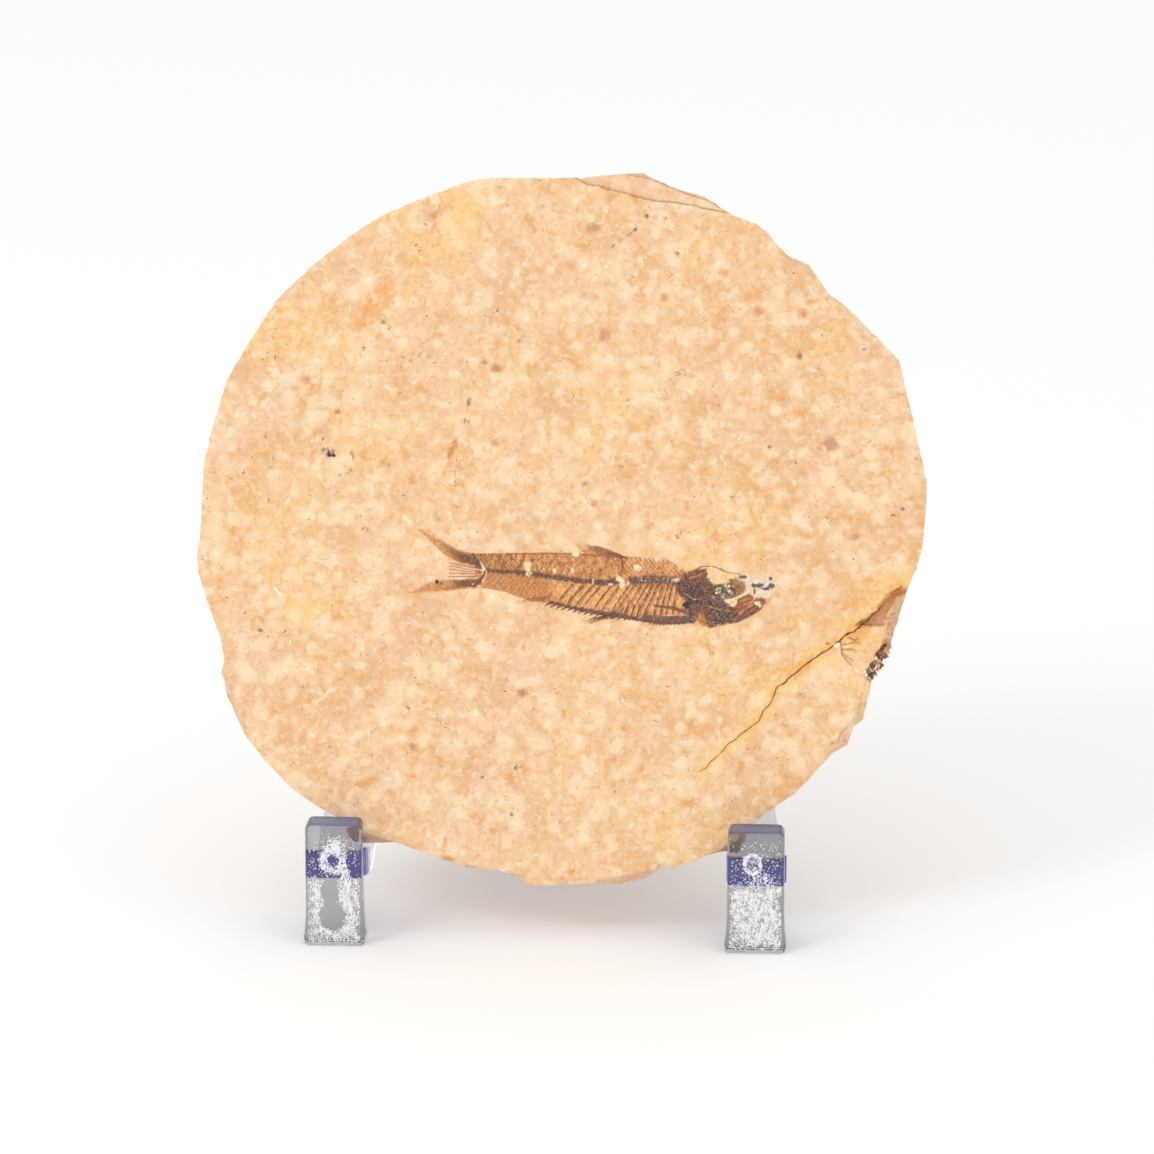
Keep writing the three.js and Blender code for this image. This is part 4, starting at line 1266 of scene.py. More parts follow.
@dataclass
class FossilFish:
    """The fish's film and bones, a little proud of the stone, with its edge let into it."""

    cradle: Cradle
    cell: float = 0.11
    low: tuple = (-28.0, -18.6)
    size: tuple = (67.0, 18.8)
    buried: float = 0.3
    margin: float = 0.32
    blank_depth: float = 2.0
    upper_lobe: tuple = (
        (-24.6, -0.8), (-22.8, -0.8), (-20.6, -2.4), (-18.4, -3.7), (-16.2, -4.6), (-14.6, -4.8),
        (-13.2, -7.6), (-14.7, -7.4), (-17.3, -6.9), (-19.1, -6.1), (-20.4, -4.8), (-22.4, -2.8),
    )
    lower_lobe: tuple = (
        (-26.1, -11.7), (-23.5, -10.4), (-21.3, -9.4), (-18.6, -9.3), (-16.5, -9.3), (-13.6, -7.9),
        (-12.6, -7.7), (-13.2, -9.6), (-13.6, -10.8), (-15.6, -11), (-18.6, -11.4), (-21.3, -11.8),
        (-24.6, -12),
    )
    fork: tuple = ((-19.2, -6.3), (-13.6, -7.5), (-13.4, -9), (-19.3, -9))
    back: tuple = (
        (-14.8, -4.8), (-12, -4.8), (-9.5, -4.7), (-3.3, -4.5), (2.4, -4.5), (6.5, -4.7), (10.7, -5),
        (14.4, -5), (18.2, -5.3), (20.4, -6.3),
    )
    nape: tuple = ((21.3, -7), (22, -9), (22.8, -12), (22.4, -16.2))
    belly: tuple = (
        (20.8, -16.3), (16.9, -16.4), (12.9, -15.9), (9.5, -15.4), (6.5, -15), (3.1, -14.4), (0.4, -13.8),
        (-2.4, -13.2), (-4.6, -12.8), (-7, -12.3), (-8.6, -11.6), (-10.3, -11.2), (-12.1, -10.9),
        (-13.6, -10.8),
    )
    dorsal: tuple = ((2.6, -4), (3, -2.7), (5.4, -3), (6.6, -3.3), (8.6, -4), (10, -4.5), (11.4, -5.1),
                     (6, -5))
    anal: tuple = ((-7.3, -13.2), (-3.8, -12.9), (-1.4, -12.9), (-1.4, -11.8), (-4, -12.2))
    pelvic: tuple = ((9.8, -14.9), (9.4, -15.7), (7.4, -15.9), (5, -16.8), (3.9, -16.4), (6, -15.4))
    head: tuple = (
        (20.4, -9.2), (21.3, -7.4), (23.8, -6.5), (26.1, -6.2), (28.9, -7.1), (30.7, -7.5), (33.4, -7.4),
        (36.4, -7.7), (37.7, -9.4), (37.4, -11.1), (35.8, -11.8), (35.5, -12.6), (34.2, -14.1), (32.3, -15.2),
        (30.4, -16.2), (28.6, -16.5), (26.1, -17.1), (24.7, -16.6), (22.4, -16.4), (21.3, -14), (20, -11),
    )
    backbone: tuple = (
        (-12.9, -7.8), (-8.9, -7.9), (-5.8, -8.1), (-1.5, -8.6), (2.9, -9.2), (7.2, -9.5),
        (10.3, -9.2), (13.8, -9), (18.2, -8.9), (20.8, -9.1),
    )

    def build(self, finish: Material) -> Piece:
        """Models and paints the fish.

        Args:
            finish: the bone's material.

        Returns:
            The finished piece.
        """
        fish = self.blank()
        places = places_of(fish)
        paint = Paint(places, 23)
        stone_marks(paint)
        self.film(paint)
        self.tail(paint)
        self.spines_and_ribs(paint)
        self.column(paint)
        self.fins(paint)
        self.skull(paint)
        self.snout(paint)
        inward = self.inward(places[:, 0], places[:, 1])
        edge = smooth(-0.3, 0.12, inward + 0.05 * paint.uneven)
        grain = 0.02 * paint.uneven
        rise = -self.buried + (self.buried + 0.03) * edge + (paint.height + grain) * smooth(-0.1, 0.3, inward)
        top = places[:, 2] > -self.blank_depth / 2
        places[:, 2] = np.where(top, FACE + rise, FACE - 2 * self.buried - 0.2)
        move_places(fish, places)
        paint.keep_on(fish)
        fish.data.transform(self.cradle.slab())
        smooth_over(fish, 60)
        finish_piece(fish, finish, ["fossil_fish"])
        return fish

    def teeth(self) -> list:
        """Where the saw of scutes has its teeth, from the throat back."""
        return [*np.arange(21.6, 12, -0.62), *np.arange(11.6, -1.8, -0.95)]

    def trunk(self) -> list:
        """The body's outline, with the saw of teeth along its belly."""
        saw = []
        for u in self.teeth():
            low = self.at_belly(u)
            long = 0.55 if u < 12 or 16 < u < 21 else 0.3
            saw += [(u, low), (u - 1.5 * long, low - 0.75 * long), (u - 0.8 * long, low)]
        return [*self.back, *self.nape, *saw, *self.belly[7:], (-12.4, -8)]

    def outlines(self) -> tuple:
        """The areas that the film covers."""
        return (self.upper_lobe, self.lower_lobe, self.fork, self.trunk(), self.dorsal, self.anal,
                self.pelvic, self.head)

    def inward(self, u: Values, v: Values) -> Values:
        """How far places lie inside the nearest of the fish's areas."""
        return np.max([inside_by(u, v, list(outline)) for outline in self.outlines()], axis=0)

    def blank(self) -> Piece:
        """A thin plate of fine cells in the fish's outline.

        Returns:
            The blank, its top at a height of nothing.
        """
        fish = sheet_of_cells("fossil_fish_film", self.cell, self.low, self.size)
        middles = face_middles(fish)
        edit(fish, Part.FACES, self.inward(middles[:, 0], middles[:, 1]) <= -self.margin)
        bpy.ops.mesh.delete(type="FACE")
        bpy.ops.mesh.select_all(action="SELECT")
        thicken(-self.blank_depth)
        edit(fish, Part.FACES, face_middles(fish)[:, 2] < 0.1 - self.blank_depth)
        bpy.ops.mesh.dissolve_faces()
        bpy.ops.object.mode_set(mode="OBJECT")
        return fish

    def at_back(self, u: float) -> float:
        """The height of the fish's back above a place."""
        return float(np.interp(u, *np.array(self.back).T))

    def at_belly(self, u: float) -> float:
        """The height of the fish's belly below a place."""
        return float(np.interp(u, *np.array(self.belly[::-1]).T))

    def at_column(self, u: float) -> float:
        """The height of the backbone."""
        return float(np.interp(u, *np.array(self.backbone).T))

    def along(self, height: Callable[[float], float], first: float, last: float, count: int,
              rise: float = 0.0) -> list:
        """Points along the back, the belly or the backbone."""
        return [(u, height(u) + rise) for u in np.linspace(first, last, count)]

    def film(self, paint: Paint) -> None:
        """The mottled brown film of the body.

        Args:
            paint: the paint on the fish's vertices.
        """
        trunk = self.trunk()
        paint.area(trunk, Tint.OCHRE, 0.95, 0.03, 0.18, 0.06)
        ribs_area = [(-2, -9), (8, -10), (21, -9.5), (21.5, -14), (20, -15.4), (10, -14.6), (0, -13)]
        paint.area(ribs_area, Tint.PALE, 0.9, 0, 1.2)
        nape = [(10.9, -5), (14, -4.6), (19, -4.9), (21.6, -6.6), (20.5, -8.6), (11, -8.5)]
        paint.area(nape, Tint.PALE, 0.85, 0, 0.8)
        crest = [(12, -4), (20, -4), (22, -6.4), (20.6, -6.7), (18, -5.7), (14, -5.5)]
        paint.area(crest, Tint.CREAM, 0.6, 0, 0.4)
        hind = [(-14, -5), (10.2, -5), (10.2, -8.8), (-1, -8.2), (-12, -7.6)]
        paint.speckle(trunk, 500, Tint.TAN, (0.12, 0.3), 0.5, 0.02, 80)
        for tint, count, strength in ((Tint.TAN, 620, 0.7), (Tint.PALE, 520, 0.75),
                                      (Tint.BROWN, 160, 0.5)):
            paint.speckle(hind, count, tint, (0.14, 0.42), strength, 0.02, 80)
        back = self.along(self.at_back, -14.4, 11, 26, -0.15)
        paint.stroke(back, 0.36, Tint.BROWN, 0.55, 0.03, ragged=0.16)

    def tail(self, paint: Paint) -> None:
        """The two lobes, dark at their roots, and the fine rays in the fork.

        Args:
            paint: the paint on the fish's vertices.
        """
        for lobe in (list(self.upper_lobe), list(self.lower_lobe)):
            paint.area(lobe, Tint.PALE, 0.85, 0.02, 0.3)
        for start, lane in zip(np.linspace(-1.2, 1.0, 7), np.linspace(0, 1, 7)):
            upper = [(-14.2, -6.2 - 0.5 * lane), (-18.6 + 0.8 * lane, -4 - 2 * lane),
                     (-24.4 + 3.4 * lane, -0.9 - 3.6 * lane)]
            lower = [(-13.6, -9.4 - 0.6 * (1 - lane)), (-18.6 + 0.2 * start, -11.1 + 1.5 * lane),
                     (-25.8 + 4 * lane, -11.7 + 1.9 * lane)]
            for ray in (upper, lower):
                paint.stroke(ray, 0.5, Tint.TAN, 0.85, 0.05, 0.2, fade=0.5)
        root = [(-19, -4.5), (-17.2, -4.6), (-15, -4.9), (-13.2, -7.3), (-14.6, -7.2), (-17.4, -6.3)]
        paint.area(root, Tint.BROWN, 0.75, 0.08, 0.5, 0.25)
        root_core = [(-17.4, -5.4), (-15, -5.3), (-13.3, -7.4), (-15, -7)]
        paint.area(root_core, Tint.PURPLE, 0.75, 0.08, 0.4, 0.3)
        paint.stroke([(-15, -4.9), (-14.2, -6), (-12.9, -7.6)], 0.55, Tint.PURPLE, 0.9, 0.08)
        lower_root = [(-18.2, -9.7), (-15, -9.5), (-14.2, -9.9), (-14.8, -10.7), (-17.8, -10.6)]
        paint.area(lower_root, Tint.BROWN, 0.8, 0.06, 0.4, 0.3)
        paint.stroke([(-16.6, -10), (-14.9, -10.1)], 0.8, Tint.PURPLE, 0.8, 0.06, ragged=0.2)
        paint.stroke([(-14.6, -10.4), (-13.6, -9.2), (-12.5, -7.9)], 0.75, Tint.PURPLE, 0.85, 0.1)
        for height, reach, end in [(-6.5, -19.1, -7.5), (-7, -18.7, -7.9), (-7.6, -18.9, -8.1),
                                   (-8.3, -19, -8.3), (-8.9, -19.2, -8.7)]:
            middle = (-16.4, (height + end) / 2 - 0.06)
            paint.stroke([(reach, height), middle, (-13.5, end)], 0.2, Tint.TAN, 0.85, 0.05, 0.3)
        for start in np.arange(-14.2, -8.6, 0.62):
            end = (start + 2.1, -7.4)
            paint.stroke([(start, self.at_back(start) - 0.4), end], 0.22, Tint.BROWN, 0.7, 0.05)
        paint.dab((-21.1, -9.8), (0.25, 0.5), Tint.INK, 0.95, 0.08)
        paint.stroke([(-21, -9.9), (-20.5, -9.9), (-20.1, -10.2)], 0.14, Tint.INK, 0.7)
        paint.dab((-14.9, -10.1), (0.24, 0.18), Tint.LILAC, 0.6)

    def spines_and_ribs(self, paint: Paint) -> None:
        """The spines above and below the backbone, and the ribs, all sweeping back.

        Args:
            paint: the paint on the fish's vertices.
        """
        draw = paint.draw
        for u in np.linspace(-10.6, 9.6, 26):
            sweep, foot = draw.uniform(1.0, 1.7), self.at_column(u) + 0.2
            top = self.at_back(u - sweep) - draw.uniform(0.8, 1.8)
            strength = draw.uniform(0.2, 0.5)
            paint.stroke([(u, foot), (u - sweep, top)], 0.24, Tint.BROWN, strength, 0.04, 0.14)
        for u in np.linspace(12.2, 22.4, 14):
            top = (u - 3.4, self.at_back(u - 3.4) - 0.1)
            bent = (u - 1.9, self.at_column(u) + 1.9)
            line = [top, bent, (u, self.at_column(min(u, 20.6)) + 0.4)]
            paint.stroke(line, 0.2, Tint.TAN, draw.uniform(0.75, 0.95), 0.06, 0.16)
            paint.stroke([(x + 0.3, y) for x, y in line], 0.14, Tint.TAN, draw.uniform(0.1, 0.5), 0.03)
        for u in np.linspace(-11, 0, 15):
            end = (u - draw.uniform(1.8, 2.6), self.at_belly(u - 2) + 0.5)
            start, strength = (u, self.at_column(u) - 0.3), draw.uniform(0.4, 0.75)
            paint.stroke([start, end], 0.26, Tint.TAN, strength, 0.04, 0.16)
        for u in [2.5, 4.3, 6, 7.3, 9.2, 10.6, 12.3, 13.2, 14.4, 15.3, 16.1, 17, 17.9, 18.7, 19.4, 20.2]:
            sweep = float(np.interp(u, [2, 6, 14, 17, 19, 20.5], [2.7, 3.3, 3.5, 2.5, 1.4, 0.8]))
            top, low = self.at_column(u) - 0.35, self.at_belly(u - sweep) + 0.5
            for shift, strength in ((0, 0.95), (0.36, draw.uniform(0.1, 0.7))):
                rib = [(u + shift, top), (u + shift - sweep * 0.4, top + (low - top) * 0.36),
                       (u + shift - sweep * 0.82, top + (low - top) * 0.76), (u + shift - sweep, low)]
                paint.stroke(rib, 0.3, Tint.BROWN, strength, 0.1, 0.24, 0.06)
        for u in np.linspace(11, 20.6, 11):
            low = self.at_belly(u - 0.9) + 0.3
            rib = [(u, low + draw.uniform(1.2, 3.0)), (u - 0.4, low + 0.9), (u - 0.5, low)]
            paint.stroke(rib, 0.24, Tint.BROWN, 0.8, 0.06, 0.4)

    def column(self, paint: Paint) -> None:
        """The dark backbone, bone by bone, with its gaps of bare stone.

        Args:
            paint: the paint on the fish's vertices.
        """
        draw = paint.draw
        for first, last, start, end in ((-12.7, -6, 0.5, 0.9), (-5.2, 9.9, 0.85, 1.0),
                                        (12.3, 20.8, 1.3, 1.5)):
            run = self.along(self.at_column, first, last, 24)
            paint.stroke(run, start + 0.5, Tint.TAN, 0.6, 0.05, end + 0.5, 0.25)
            paint.stroke(run, start, Tint.PURPLE, 0.97, 0.12, end, 0.14)
        for u in np.linspace(-12.2, 20.4, 44):
            bone, joint = (u, self.at_column(u)), (u + 0.37, self.at_column(u))
            paint.dab(bone, (0.2, 0.38), Tint.DARK_MAROON, draw.uniform(0.1, 0.6), 0.05, 0.4, 0.35)
            share = 0.5 if u > 12 else 0.3
            paint.dab(joint, (0.08, 0.4), Tint.PALE, draw.uniform(0.05, share), -0.05, 0.6)
        for _ in range(60):
            u = draw.uniform(13, 21)
            at = (u, self.at_column(u) + draw.normal(0, 0.45))
            paint.dab(at, (draw.uniform(0.07, 0.15),) * 2, Tint.THREAD, draw.uniform(0.4, 0.9), 0, 0.6)
        for u in np.arange(-2, 8, 0.9):
            at, strength = (u, self.at_column(u) - 0.65), draw.uniform(0.2, 0.9)
            paint.dab(at, (0.22, 0.1), Tint.PALE, strength, 0, 0.5)
        for at, size in [((-5.5, -7.1), (0.5, 0.9)), ((-5.2, -8.2), (0.55, 0.4)), ((-0.9, -7.6), (0.3, 0.5)),
                         ((2.2, -7.5), (0.4, 0.5)), ((5.7, -9.4), (0.13, 0.55)), ((10.1, -8.8), (0.38, 0.5)),
                         ((10.7, -9.6), (0.42, 0.75)), ((11.8, -9.5), (0.3, 0.35)), ((8.8, -9.8), (0.4, 0.2)),
                         ((13.4, -6.9), (0.65, 0.55)), ((20.1, -8.9), (0.5, 0.35)), ((2.8, -4.7),
                                                                                     (0.65, 0.35))]:
            paint.dab(at, size, Tint.CREAM, 0.92, -0.08, 0.3, 0.35)
        paint.stroke([(10.6, -5.2), (10.7, -7), (10.5, -8.3)], 0.3, Tint.BROWN, 0.9, 0.08)
        paint.stroke([(-5.4, -8.1), (-5.1, -8.6), (-4.8, -8.3)], 0.16, Tint.INK, 0.9, 0.05)

    def fins(self, paint: Paint) -> None:
        """The fins on the back, the belly and the breast, and the saw of scutes.

        Args:
            paint: the paint on the fish's vertices.
        """
        draw = paint.draw
        sail = [(3.2, -4.4), (5.4, -3.3), (6.5, -3.3), (7.9, -3.6), (9.5, -4.3), (11.2, -5.1), (9, -5.1),
                (6, -4.8)]
        paint.area(sail, Tint.TAN, 0.75, 0.06, 0.3, 0.2)
        for share in np.linspace(0, 1, 14):
            foot = (10.4 - 5.6 * share, -4.9 + 0.3 * share)
            tip = (foot[0] - 3 - 0.4 * share, -3.9 + 1.3 * min(1, 1.6 * share))
            tint = Tint.AMBER if share > 0.7 else Tint.TAN
            paint.stroke([foot, tip], 0.3, tint, 0.85, 0.06, 0.14, fade=0.6)
        crest = [(11.4, -5.1), (9.5, -4.35), (7.9, -3.7), (6.5, -3.4), (5, -3.5)]
        paint.stroke(crest, 0.55, Tint.BROWN, 0.95, 0.1, 0.25, 0.12, 0.5)
        paint.stroke([(11.2, -5.2), (9.6, -4.8), (8, -4.5)], 0.4, Tint.PURPLE, 0.7, 0.06, 0.2, 0.15)
        anal_root = [(-5, -12.9), (-3.4, -12.7), (-1.6, -11.7), (-2.6, -12.9)]
        paint.area(anal_root, Tint.BROWN, 0.7, 0.06, 0.3)
        for share in np.linspace(0, 1, 8):
            foot = (-1.6 - 3 * share, -12 - 0.3 * share)
            tip = (foot[0] - 2.2 - 0.9 * share, -12.9 - 0.2 * share)
            paint.stroke([foot, tip], 0.28, Tint.TAN, 0.8, 0.05, 0.16, fade=0.5)
        for lane in np.linspace(0, 1, 7):
            tip = (4.1 + 2.2 * lane, -15.8 - 1.1 * math.sin(1.8 * lane))
            tint = Tint.RUST if lane > 0.4 else Tint.BROWN
            paint.stroke([(9.4, -15.1), (7, -15.5 - 0.3 * lane), tip], 0.5, tint, 0.95, 0.05, 0.18, fade=0.25)
        paint.stroke(self.along(self.at_belly, -1.6, 9.6, 20, 0.35), 0.35, Tint.PURPLE, 0.92, 0.1,
                     1.2, 0.15)
        paint.stroke([(9.8, -15.2), (8, -15.5), (6.3, -15.9)], 0.9, Tint.BROWN, 0.85, 0.08, 0.4, 0.15,
                     0.4)
        paint.stroke([(9, -14.7), (10.4, -15), (11.6, -15.6)], 1.0, Tint.PURPLE, 0.92, 0.1, 0.8, 0.2)
        paint.stroke(self.along(self.at_belly, 11.4, 15.4, 8, 0.4), 0.6, Tint.BROWN, 0.8, 0.08, 0.9,
                     0.25)
        paint.stroke(self.along(self.at_belly, 15, 22.6, 18, 0.8), 1.5, Tint.PURPLE, 0.97, 0.12, 1.7,
                     0.3)
        for u in self.teeth():
            low = self.at_belly(u)
            tooth = [(u + 0.5, low + 0.35), (u - 0.7, low - 0.3)]
            paint.stroke(tooth, 0.5, Tint.PURPLE, 0.95, 0.08, 0.3, 0.02)
        for u in np.linspace(15.4, 21.8, 15):
            low, strength = self.at_belly(u) + 0.15, draw.uniform(0.1, 0.5)
            paint.stroke([(u, low + 1.2), (u - 0.25, low)], 0.14, Tint.PALE, strength, -0.04, 0.1)
        paint.stroke([(16.4, -13.4), (19, -13.6), (22.2, -14.4)], 0.35, Tint.BROWN, 0.95, 0.1, 1.0)
        paint.stroke([(18, -14.9), (20.6, -14.9), (22.4, -14.8)], 0.25, Tint.CREAM, 0.6, -0.04, 0.1)

    def skull(self, paint: Paint) -> None:
        """The crushed skull, its gill cover, cheek and eye.

        Args:
            paint: the paint on the fish's vertices.
        """
        crushed = [
            (21.3, -7.8), (23.8, -6.9), (25.2, -7.1), (25.8, -8.7), (26.4, -9.6), (27.5, -9.6), (28, -11.6),
            (27.6, -12.2), (25.6, -13.2), (24.7, -14.9), (23.4, -14.9), (22.7, -15.3), (21.5, -14.2),
            (22, -12.6), (20.1, -10.8), (20.4, -9.2),
        ]
        cheek = [
            (24.5, -13.3), (27.3, -12.2), (30.5, -13.5), (31, -14.9), (29.6, -16.1), (27.5, -16.3),
            (26.1, -17), (24.7, -16.5), (23.8, -15.8), (22.2, -16.2), (22, -15.2),
        ]
        for area in (crushed, cheek):
            paint.area(area, Tint.MAROON, 0.97, 0.16, 0.3, 0.3)
            paint.speckle(area, 420, Tint.DARK_MAROON, (0.12, 0.4), 0.85, 0.05)
            paint.speckle(area, 110, Tint.TAN, (0.08, 0.22), 0.7, 0.05)
            paint.speckle(area, 130, Tint.LILAC, (0.05, 0.12), 0.6)
        paint.dab((22.8, -10.9), (1.7, 1.9), Tint.DARK_MAROON, 0.7, 0, 0.5, 0.4)
        for path in ([(21.6, -9), (23, -7.9), (25, -6.9)], [(21, -8.4), (22.6, -7.4), (24.4, -6.5)],
                     [(22.4, -9), (23.6, -8.3), (25.3, -7.8)], [(22.6, -9.6), (24.4, -8.9), (25.6, -9.4)]):
            paint.stroke(path, 0.36, Tint.RUST, 0.85, 0.1, 0.24, 0.12)
        for path in ([(21.4, -11), (23, -12.2), (24.4, -12)], [(24.6, -10.2), (25.8, -11.4), (27.2, -11.8)],
                     [(25.4, -13.2), (27.4, -13.8), (30, -14.2)], [(22, -8.7), (23.4, -8.2), (25, -7.4)]):
            paint.stroke(path, 0.16, Tint.PALE, 0.65, 0.06, 0.12, 0.08)
        gap = [(25.2, -6.9), (26.4, -6.8), (28.9, -7.7), (30.2, -8.2), (28.7, -8.7), (27.5, -9.2),
               (26.4, -9.6),
               (25.8, -8.7), (25.4, -8)]
        paint.area(gap, Tint.CREAM, 0.8, -0.1, 0.2, 0.35)
        roof = [(24.2, -6.5), (26.1, -6.4), (27.5, -6.9), (28.9, -7.5), (30.9, -7.7)]
        paint.stroke(roof, 0.2, Tint.BROWN, 0.95, 0.06)
        throat = [(23.6, -14.7), (24.6, -14.8), (25.1, -15.8), (25.2, -16.5), (24.2, -16.2), (23.2, -15.6)]
        paint.area(throat, Tint.AMBER, 0.75, 0, 0.9, 0.4)
        paint.stroke([(24, -16.1), (26, -16.9), (28.4, -16.4)], 0.3, Tint.AMBER, 0.6)
        brow = [(29, -8.7), (30.4, -8.4), (31.6, -9), (32, -10.2), (31.4, -11), (30.6, -11.4), (29.2, -9.4)]
        paint.area(brow, Tint.TAN, 0.9, 0.1, 0.25, 0.2)
        paint.speckle(brow, 60, Tint.BROWN, (0.1, 0.3), 0.7, 0.04)
        bare = [(28.2, -11.9), (29.6, -11.8), (30.5, -12.2), (30.4, -13.2), (29.2, -13)]
        paint.area(bare, Tint.CREAM, 0.95, -0.05, 0.2, 0.25)
        eye = [(27, -9.6), (28.4, -9.3), (29.4, -9.4), (30.4, -11.2), (29.6, -11.9), (27.6, -12), (26.9, -11)]
        paint.area(eye, Tint.OLIVE, 0.9, 0.05, 0.3, 0.35)
        paint.speckle(eye, 70, Tint.CREAM, (0.1, 0.26), 0.9, -0.03)
        paint.speckle(eye, 70, Tint.INK, (0.1, 0.26), 0.85, 0.05)
        paint.stroke([(29.2, -9.4), (29.8, -10.5), (30.5, -11.4)], 0.24, Tint.INK, 0.95, 0.06)
        paint.stroke([(26.9, -11.9), (28.6, -11.9), (30.2, -11.6)], 0.2, Tint.INK, 0.8, 0.05)
        for at in ((21.5, -13), (21.8, -13.3), (21.9, -12.9)):
            paint.dab(at, (0.42, 0.38), Tint.INK, 0.98, 0.1)

    def snout(self, paint: Paint) -> None:
        """The jaws, and the pale mended patch of the snout with its grey spots.

        Args:
            paint: the paint on the fish's vertices.
        """
        patch = [(30.5, -7.7), (33, -7.5), (36.3, -7.9), (37.5, -9.4), (37.2, -11), (35.6, -11.7),
                 (33.7, -11.6),
                 (33.2, -12.4), (32.9, -11.2), (31.9, -10.8), (31.9, -9.2), (30.7, -8.7)]
        paint.area(patch, Tint.LILAC, 0.5, 0.02, 0.9, 0.3)
        for at, size in [((31.4, -8.2), (0.75, 0.38)), ((36.1, -8.4), (0.35, 0.35)),
                         ((34, -9.6), (1.0, 0.42)),
                         ((36.3, -9.6), (0.5, 0.4)), ((35.1, -10.1), (0.7, 0.3)), ((33.3, -9.6), (0.4, 0.4))]:
            paint.dab(at, size, Tint.GREY_BLACK, 0.92, 0.03, 0.25, 0.35)
        paint.dab((33.4, -10.6), (0.2, 0.5), Tint.BROWN, 0.9)
        jaw = [(34, -11.6), (35.3, -11.9), (35.3, -12.6), (34.2, -14), (32.3, -15.1), (30.3, -16.1),
               (29.8, -15.8),
               (30.7, -14.7), (32.6, -13.1), (33, -12.4)]
        upper = [(30.5, -11.9), (32.4, -11), (33.3, -11.7), (33, -12.6), (31.6, -13.8), (30.6, -14.4),
                 (30.2, -13.4)]
        paint.area(upper, Tint.RUST, 0.95, 0.14, 0.2, 0.15)
        paint.area(jaw, Tint.RUST, 0.95, 0.16, 0.2, 0.15)
        paint.stroke([(34.4, -13.4), (32.6, -14.7), (30.6, -15.7)], 0.7, Tint.MAROON, 0.85, 0.04, 0.5, 0.2)
        for shift in (0, 0.55, 1.1):
            ridge = [(31 + shift, -12.4 - shift), (32.8 + shift * 0.6, -11.8 - shift)]
            paint.stroke(ridge, 0.26, Tint.AMBER, 0.7, 0.06)
            groove = [(30.6 + shift, -15.4 + shift), (32.4 + shift, -14 + shift)]
            paint.stroke(groove, 0.24, Tint.DARK_MAROON, 0.8, 0.06)
        paint.dab((33.9, -12.6), (0.5, 0.35), Tint.CREAM, 0.95, -0.1)
        paint.dab((34.4, -13.1), (0.3, 0.25), Tint.CREAM, 0.9, -0.1)


